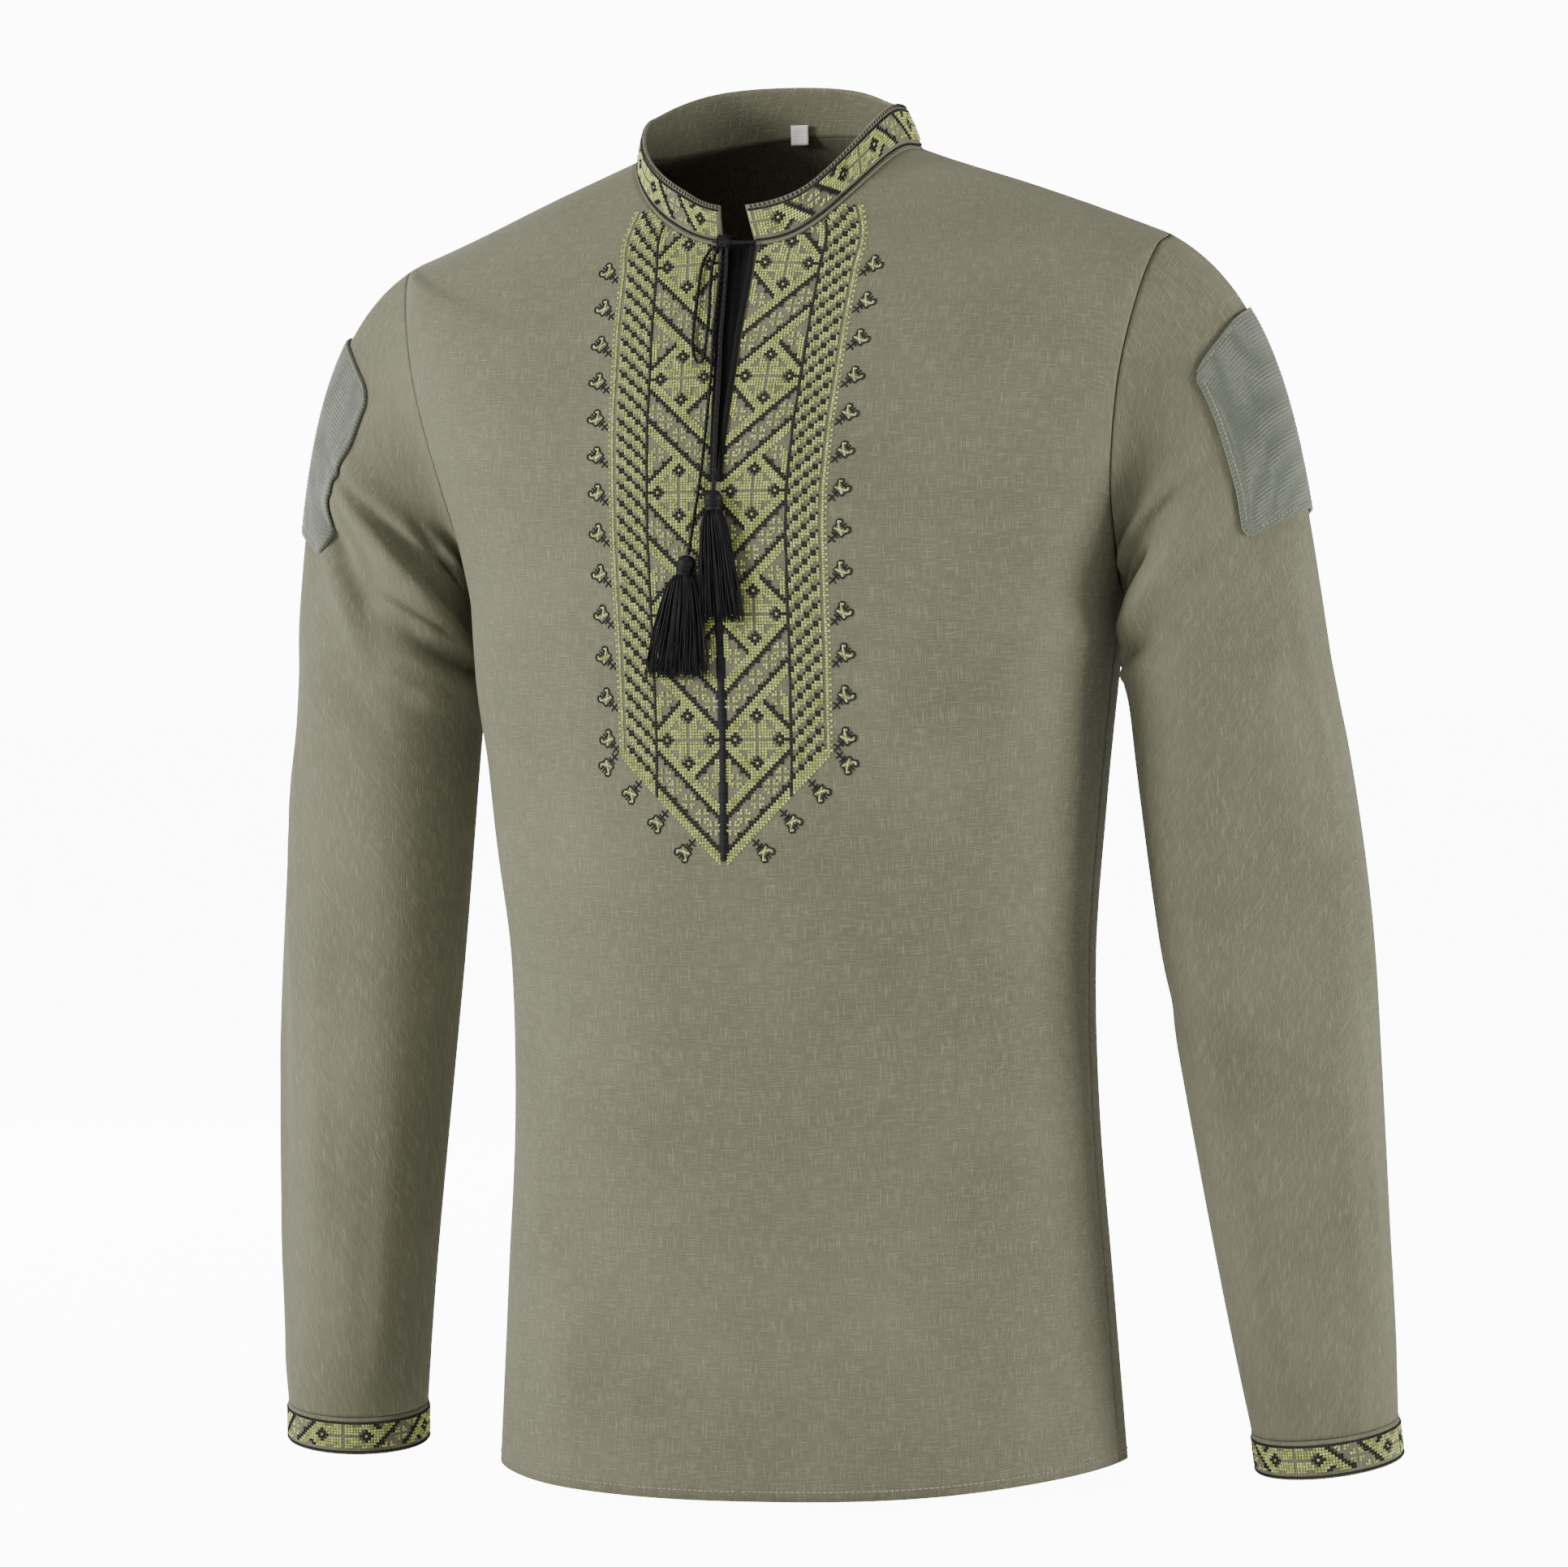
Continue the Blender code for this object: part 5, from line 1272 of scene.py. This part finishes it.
# Embroidery: one square of the chart is one cross-stitch, 1.55 mm wide and 1.55 mm tall.
# Heights of the chart's rows, and by height: the middle line's x, the run of cloth from
# it to the chart's first stitch, and the width of a stitch there.
ROW_HEIGHTS = (
    (-60, -0.4050), (-42, -0.3775), (0, -0.3125), (42, -0.2465), (84, -0.1815), (126, -0.1210),
    (168, -0.0605), (200, -0.0145),
)
CHART_LINES = (
    (-0.4050, 0.0000, 0.0016, 0.001543), (-0.3140, 0.0000, 0.0016, 0.001543),
    (-0.2650, -0.0014, 0.0019, 0.001550), (-0.2475, -0.0024, 0.0021, 0.001550),
    (-0.2000, -0.0052, 0.0025, 0.001556), (-0.1800, -0.0055, 0.0029, 0.001556),
    (-0.1500, -0.0050, 0.0044, 0.001560), (-0.1200, -0.0042, 0.0062, 0.001560),
    (-0.0900, -0.0034, 0.0084, 0.001545), (-0.0600, -0.0026, 0.0105, 0.001529),
    (-0.0400, -0.0020, 0.0130, 0.001540), (-0.0145, -0.0016, 0.0160, 0.001540),
)
FIRST_ROW, LAST_ROW = -44, 190
COLUMNS = 38
BLANK, LIGHT, DARK = 0, 1, 2
THREADS = ((LIGHT, LIME, "lime", "band"), (DARK, BLACK_THREAD, "black", "black_cotton"))


def star_field(c, r):
    """Chart of the wide field beside the slit: stars in lozenges between slanting bands."""
    x = c - 11
    y = (r + 21) % 42 - 21
    ax, ay = np.abs(x), np.abs(y)
    across, both = (y - x) % 42, ax + ay
    code = np.zeros(c.shape, int)
    long_arm, short_arm = np.maximum(ax, ay), np.minimum(ax, ay)
    light = (both >= 11) & (both <= 14)
    light |= ((across >= 11) & (across <= 14)) | ((across >= 28) & (across <= 31))
    light |= (short_arm >= 1) & (short_arm <= 3) & (long_arm >= short_arm) & (long_arm <= short_arm + 4)
    for centre in (-9, -5, 0, 5, 9):
        dx, dy = np.abs(x - centre), np.abs((y - centre - 21 + 21) % 42 - 21)
        light |= ((dx == 1) & (dy == 1)) | ((dx == 1) & (dy == 2)) | ((dx == 2) & (dy == 1))
    for hand in (-1, 1):
        hx, hy = x * hand, y * hand
        dx, dy = np.abs(hx - 8), np.abs(hy - 14)
        inside = hy - hx < 11
        light |= inside & (((dx == 1) & (dy == 1)) | ((dx == 1) & (dy == 2)) | ((dx == 2) & (dy == 1)))
        light |= (hx >= 10) & (hy >= 7) & (hy <= 14) & inside
    code[light] = LIGHT
    dark = np.isin(across, (15, 16, 26, 27)) | (np.isin(across, (17, 25)) & (c % 4 == 0))
    for hand in (-1, 1):
        hx, hy = x * hand, y * hand
        inside = (hy - hx < 11) & (hx >= 1)
        dark |= inside & (np.isin(hx + hy, (15, 16)) | ((hx + hy == 17) & (hx % 3 == 0)))
    dark |= (ax == 11) & (ay == 0)
    code[dark] = DARK
    for cx, cy in ((8, 0), (-8, 0), (0, 8), (0, -8)):
        ring = np.abs(x - cx) + np.abs(y - cy)
        code[(ring <= 2) & (ring > 0)] = DARK
        code[ring == 0] = LIGHT
    return code


def front_chart(c, r):
    """Chart of one half of the front: star field, feathered band and border."""
    code = star_field(c, r)
    k, p = c - 23, (r - c) % 6
    feather = np.zeros(c.shape, int)
    feather[(p == 5) | (p == 4) | (p == 3) | ((p == 2) & (k % 3 == 2))] = LIGHT
    feather[(p == 0) | ((k % 3 == 0) & (p == 1)) | ((k % 3 == 1) & (p == 5))] = DARK
    feather[k == 0] = DARK
    code = np.where(c >= 23, feather, code)
    code[k == 12] = BLANK
    foot = (r - c >= -42) & (r - c <= -39) & (c != 23)
    code[foot & (c <= 36)] = LIGHT
    code[c == 36] = LIGHT
    code[c == 37] = np.where(r[c == 37] % 2 == 0, LIGHT, BLANK)
    code[r - c < -42] = BLANK
    return code


row_marks = np.arange(FIRST_ROW, LAST_ROW + 2) - 0.5
column_marks = np.arange(COLUMNS + 1) - 0.5
MARKED_ROWS = np.arange(-60, 201)
MARKED_AWAY = np.linspace(0, 0.098, 90)


def chart_height(r, away):
    """Height of the chart's row r at a distance from the middle line: a little lower outward."""
    z = np.interp(r, *zip(*ROW_HEIGHTS))
    share = np.clip((z - SLIT_BOTTOM_Z) / (SLIT_TOP_Z - SLIT_BOTTOM_Z), 0, 1)
    return z - 0.06 * share * (away - 0.019)


def chart_line(r, which):
    """A column of the chart's table of lines, at row r."""
    table = np.array(CHART_LINES)
    return np.interp(np.interp(r, *zip(*ROW_HEIGHTS)), table[:, 0], table[:, which])


def chart_runs(side):
    """Runs of cloth from the middle line out to each marked distance, by row."""
    r, away = np.meshgrid(MARKED_ROWS, MARKED_AWAY, indexing="ij")
    line, _ = front_spot(chart_line(r, 1) + side * away, chart_height(r, away))
    steps = np.linalg.norm(np.diff(line, axis=1), axis=2)
    return np.concatenate((np.zeros((len(MARKED_ROWS), 1)), np.cumsum(steps, axis=1)), axis=1)


RUNS = {side: chart_runs(side) for side in (-1, 1)}


def chart_spot(side, c, r, out=0.0002):
    """x, z, points and normals of the front at chart columns and rows, also past its edge."""
    c, r = together(c, r)
    wanted = chart_line(r, 2) + chart_line(r, 3) * (c + 0.5)
    rows = np.clip(np.rint(r - MARKED_ROWS[0]), 0, len(MARKED_ROWS) - 1).astype(int)
    away = np.zeros(c.shape)
    for row in np.unique(rows):
        here = rows == row
        away[here] = np.interp(wanted[here], RUNS[side][row], MARKED_AWAY)
    x, z = chart_line(r, 1) + side * away, chart_height(r, away)
    points, normals = front_spot(x, z, np.full(x.shape, CLOTH / 2 + out))
    return x, z, points, normals


rows_grid, columns_grid = np.meshgrid(np.arange(FIRST_ROW, LAST_ROW + 1), np.arange(COLUMNS), indexing="ij")
chart = front_chart(columns_grid, rows_grid)
front_stitches = {LIGHT: [], DARK: []}
for side in (-1, 1):
    x, z, corners, corner_normals = chart_spot(side, column_marks[None, :], row_marks[:, None])
    inside = row_at(x, z) < NECK_ROW - 0.03
    whole = inside[:-1, :-1] & inside[1:, :-1] & inside[:-1, 1:] & inside[1:, 1:]
    for code in (LIGHT, DARK):
        front_stitches[code].append(cross_stitches(corners, corner_normals, (chart == code) & whole))
for code, material, name, slot in THREADS:
    crosses = joined(front_stitches[code])
    lay_threads("front_cross_stitch_" + name, crosses, CROSS_THREAD, material)


def band_chart(c, j, rows):
    """Chart of a collar or cuff: the field's stars and bands laid sideways, with edge lines."""
    code = star_field(j - rows // 2 + 11, c)
    code[(j == 0) | (j == rows - 2)] = DARK
    code[(j == 1) | (j == rows - 1)] = BLANK
    return code


def band_stitches(place, length, rows, name):
    """Cross-stitches all along a band whose lattice corners are place(run, share)."""
    count = int(length / 0.0016)
    runs = np.linspace(0.0006, length - 0.0006, count + 1)
    run, share = np.meshgrid(runs, np.linspace(0.03, 0.97, rows + 1))
    points, normals = place(run, share)
    c, j = np.meshgrid(np.arange(count), np.arange(rows))
    codes = band_chart(c, j, rows)
    for code, material, thread, slot in THREADS:
        crosses = cross_stitches(points, normals, codes == code)
        lay_threads(name + "_" + thread, crosses, CROSS_THREAD, material)


band_stitches(
    lambda run, share: collar_at(run, share, np.full(run.shape, COLLAR_CLOTH / 2 + 0.0002)),
    collar_length, 14, "collar_cross_stitch",
)
# Black teeth over the collar's top edge, and a thin roll of linen along the neck seam
teeth = np.arange(0.0015, collar_length - 0.001, 0.0024)
teeth_low, teeth_normals = collar_at(teeth, 0.925, np.full(teeth.shape, COLLAR_CLOTH / 2 + 0.0002))
teeth_high, _ = collar_at(teeth + 0.0003, 0.995, np.full(teeth.shape, COLLAR_CLOTH / 2 + 0.0001))
edge_teeth = (teeth_low, teeth_high, teeth_normals)
lay_threads("collar_edge_teeth", edge_teeth, TOOTH_THREAD, BLACK_THREAD)
roll_run = np.linspace(0.0005, collar_length - 0.0005, 400)
roll_points, roll_normals = collar_at(roll_run, -0.035, np.full(roll_run.shape, COLLAR_CLOTH / 2 + 0.0002))
make_piece("neck_seam_roll", sweep(roll_points, roll_normals, 0.0009, 10), LINEN)

CUFF_ROUND = 0.2465
for side, side_name in SIDES:
    def on_cuff(run, share):
        out = np.full(run.shape, CUFF_CLOTH / 2 + 0.0002)
        return cuff_at(side, run / CUFF_ROUND * tau, 1 - share, out)

    band_stitches(on_cuff, CUFF_ROUND, 13, "cuff_cross_stitch_" + side_name)

# Black satin stitch down the middle, from the slit's end to the point of the pattern
satin_z = np.arange(-0.3765, float(SLIT_BOTTOM_Z) - 0.001, 0.00062)
satin_half = np.minimum(0.0023, (satin_z + 0.3775) * 0.9)
satin_x = np.interp(satin_z, [row[0] for row in CHART_LINES], [row[1] for row in CHART_LINES])
satin_a, satin_n = front_spot(satin_x - satin_half, satin_z, np.full(satin_z.shape, CLOTH / 2 + 0.0003))
satin_b, _ = front_spot(satin_x + satin_half, satin_z + 0.0009, np.full(satin_z.shape, CLOTH / 2 + 0.0003))
satin = (satin_a, satin_b, satin_n)
lay_threads("centre_satin_stitch", satin, SATIN_THREAD, BLACK_THREAD)

# Sprigs along the border, drawn in squares of the chart from the foot of each
SPRIG_STEM = [
    ((0, 0), (2.9, 2.9)), ((1.15, 1.35), (0, 2.1)), ((1.35, 1.15), (2.2, 0)), ((2.3, 2.5), (1.15, 3.4)),
    ((2.5, 2.3), (3.1, 1.35)),
]
SPRIG_LIGHT = (
    ((3.5, 7.1), (4.6, 6.9)), ((3.46, 7.1), (4, 4)), ((4, 4), (4.6, 2.3)),
    ((2.1, 4.8), (4, 4)), ((4, 4), (5.6, 3.5)), ((5.6, 3.5), (6.6, 3.5)), ((6.6, 3.5), (6.7, 4.4)),
)
SPRIG_HALF = (
    (3, 3), (1.9, 3.9), (1.6, 4.8), (2.4, 5.4), (2.9, 6.2), (3.0, 7.2), (3.8, 7.8), (4.9, 7.6),
    (5.2, 6.7), (4.5, 6.1), (5.0, 5.0),
)
SPRIG_DARK = [(a, b) for a, b in zip(SPRIG_HALF, SPRIG_HALF[1:])]
SPRIG_DARK += [((a[1], a[0]), (b[1], b[0])) for a, b in SPRIG_DARK]
SPRIG_DARK += [((5.0, 5.0), (6.2, 6.2))] + SPRIG_STEM


def sprig_threads(strokes, feet, flip):
    """Chart places where the threads of a list of strokes start and end, at each foot."""
    starts, ends = [], []
    hand = np.array((1, -1 if flip else 1))
    for foot in feet:
        for a, b in strokes:
            a, b = np.array(a, float), np.array(b, float)
            pieces = max(int(np.ceil(np.linalg.norm(b - a) / 1.1)), 1)
            for k in range(pieces):
                starts.append(foot + (a + (b - a) * (k - 0.12) / pieces) * hand)
                ends.append(foot + (a + (b - a) * (k + 1.12) / pieces) * hand)
    return np.array(starts), np.array(ends)


border_feet = [(37.9, r) for r in range(-4, 178, 14)]
bottom_feet = [(c, c - 43) for c in (9, 19, 29, 38.5)]
SPRIG_OUT = 0.00025
for strokes, (_, material, thread, slot) in zip((SPRIG_LIGHT, SPRIG_DARK), THREADS):
    sprigs = []
    for side in (-1, 1):
        for flip, feet in ((False, border_feet), (True, bottom_feet)):
            a, b = sprig_threads(strokes, feet, flip)
            _, _, start, up = chart_spot(side, a[:, 0], a[:, 1], SPRIG_OUT)
            _, _, end, _ = chart_spot(side, b[:, 0], b[:, 1], SPRIG_OUT)
            sprigs.append((start, end, up))
    lay_threads("sprig_stitch_" + thread, joined(sprigs), SPRIG_THREAD, material)

# A pale floor and soft studio light
floor_bm = bmesh.new()
bmesh.ops.create_grid(floor_bm, x_segments=8, y_segments=8, size=15)
bmesh.ops.translate(floor_bm, verts=floor_bm.verts, vec=(0, 0, CAD_BOX[0][2] - 0.004))
floor_mesh = bpy.data.meshes.new("studio_floor")
floor_bm.to_mesh(floor_mesh)
floor_bm.free()
floor_material, _, floor_shader = new_material("matt_white_studio_paper", "#f6f6f6", 0.9)
floor_shader.inputs["Emission Color"].default_value = (1, 1, 1, 1)
floor_tree = floor_material.node_tree
bright = add(floor_tree, "ShaderNodeLightPath").outputs["Is Camera Ray"]
shine = add(floor_tree, "ShaderNodeMath", {
    "operation": "MULTIPLY_ADD", 1: 11.0, 2: 0.15,
}, {0: bright}).outputs[0]
floor_tree.links.new(shine, floor_shader.inputs["Emission Strength"])
put("studio_floor", floor_mesh, floor_material)

world = bpy.data.worlds.new("studio")
bpy.context.scene.world = world
world.use_nodes = True
world.node_tree.nodes["Background"].inputs["Color"].default_value = (1, 1, 1, 1)
# The paper behind shows white, while its light on the cloth stays soft.
seen = add(world.node_tree, "ShaderNodeLightPath").outputs["Is Camera Ray"]
glow = add(world.node_tree, "ShaderNodeMath", {
    "operation": "MULTIPLY_ADD", 1: 12.0, 2: 0.30,
}, {0: seen}).outputs[0]
world.node_tree.links.new(glow, world.node_tree.nodes["Background"].inputs["Strength"])


def soft_light(name, place, target, size, power):
    light = bpy.data.objects.new(name, bpy.data.lights.new(name, "AREA"))
    light.data.size = size
    light.data.energy = power
    light.location = place
    light.rotation_mode = "QUATERNION"
    light.rotation_quaternion = (Vector(target) - Vector(place)).to_track_quat("-Z", "Y")
    bpy.context.scene.collection.objects.link(light)


soft_light("key_softbox", (-2.1, -1.7, 0.45), (0, 0, -0.3), 0.8, 92)
soft_light("side_softbox", (2.7, -0.1, 0.1), (0.2, 0, -0.35), 1.0, 74)
soft_light("back_softbox", (-1.9, 2.0, 0.5), (0, 0, -0.3), 0.9, 55)
soft_light("top_softbox", (0.0, -0.9, 1.8), (0, 0.05, -0.1), 0.9, 15)
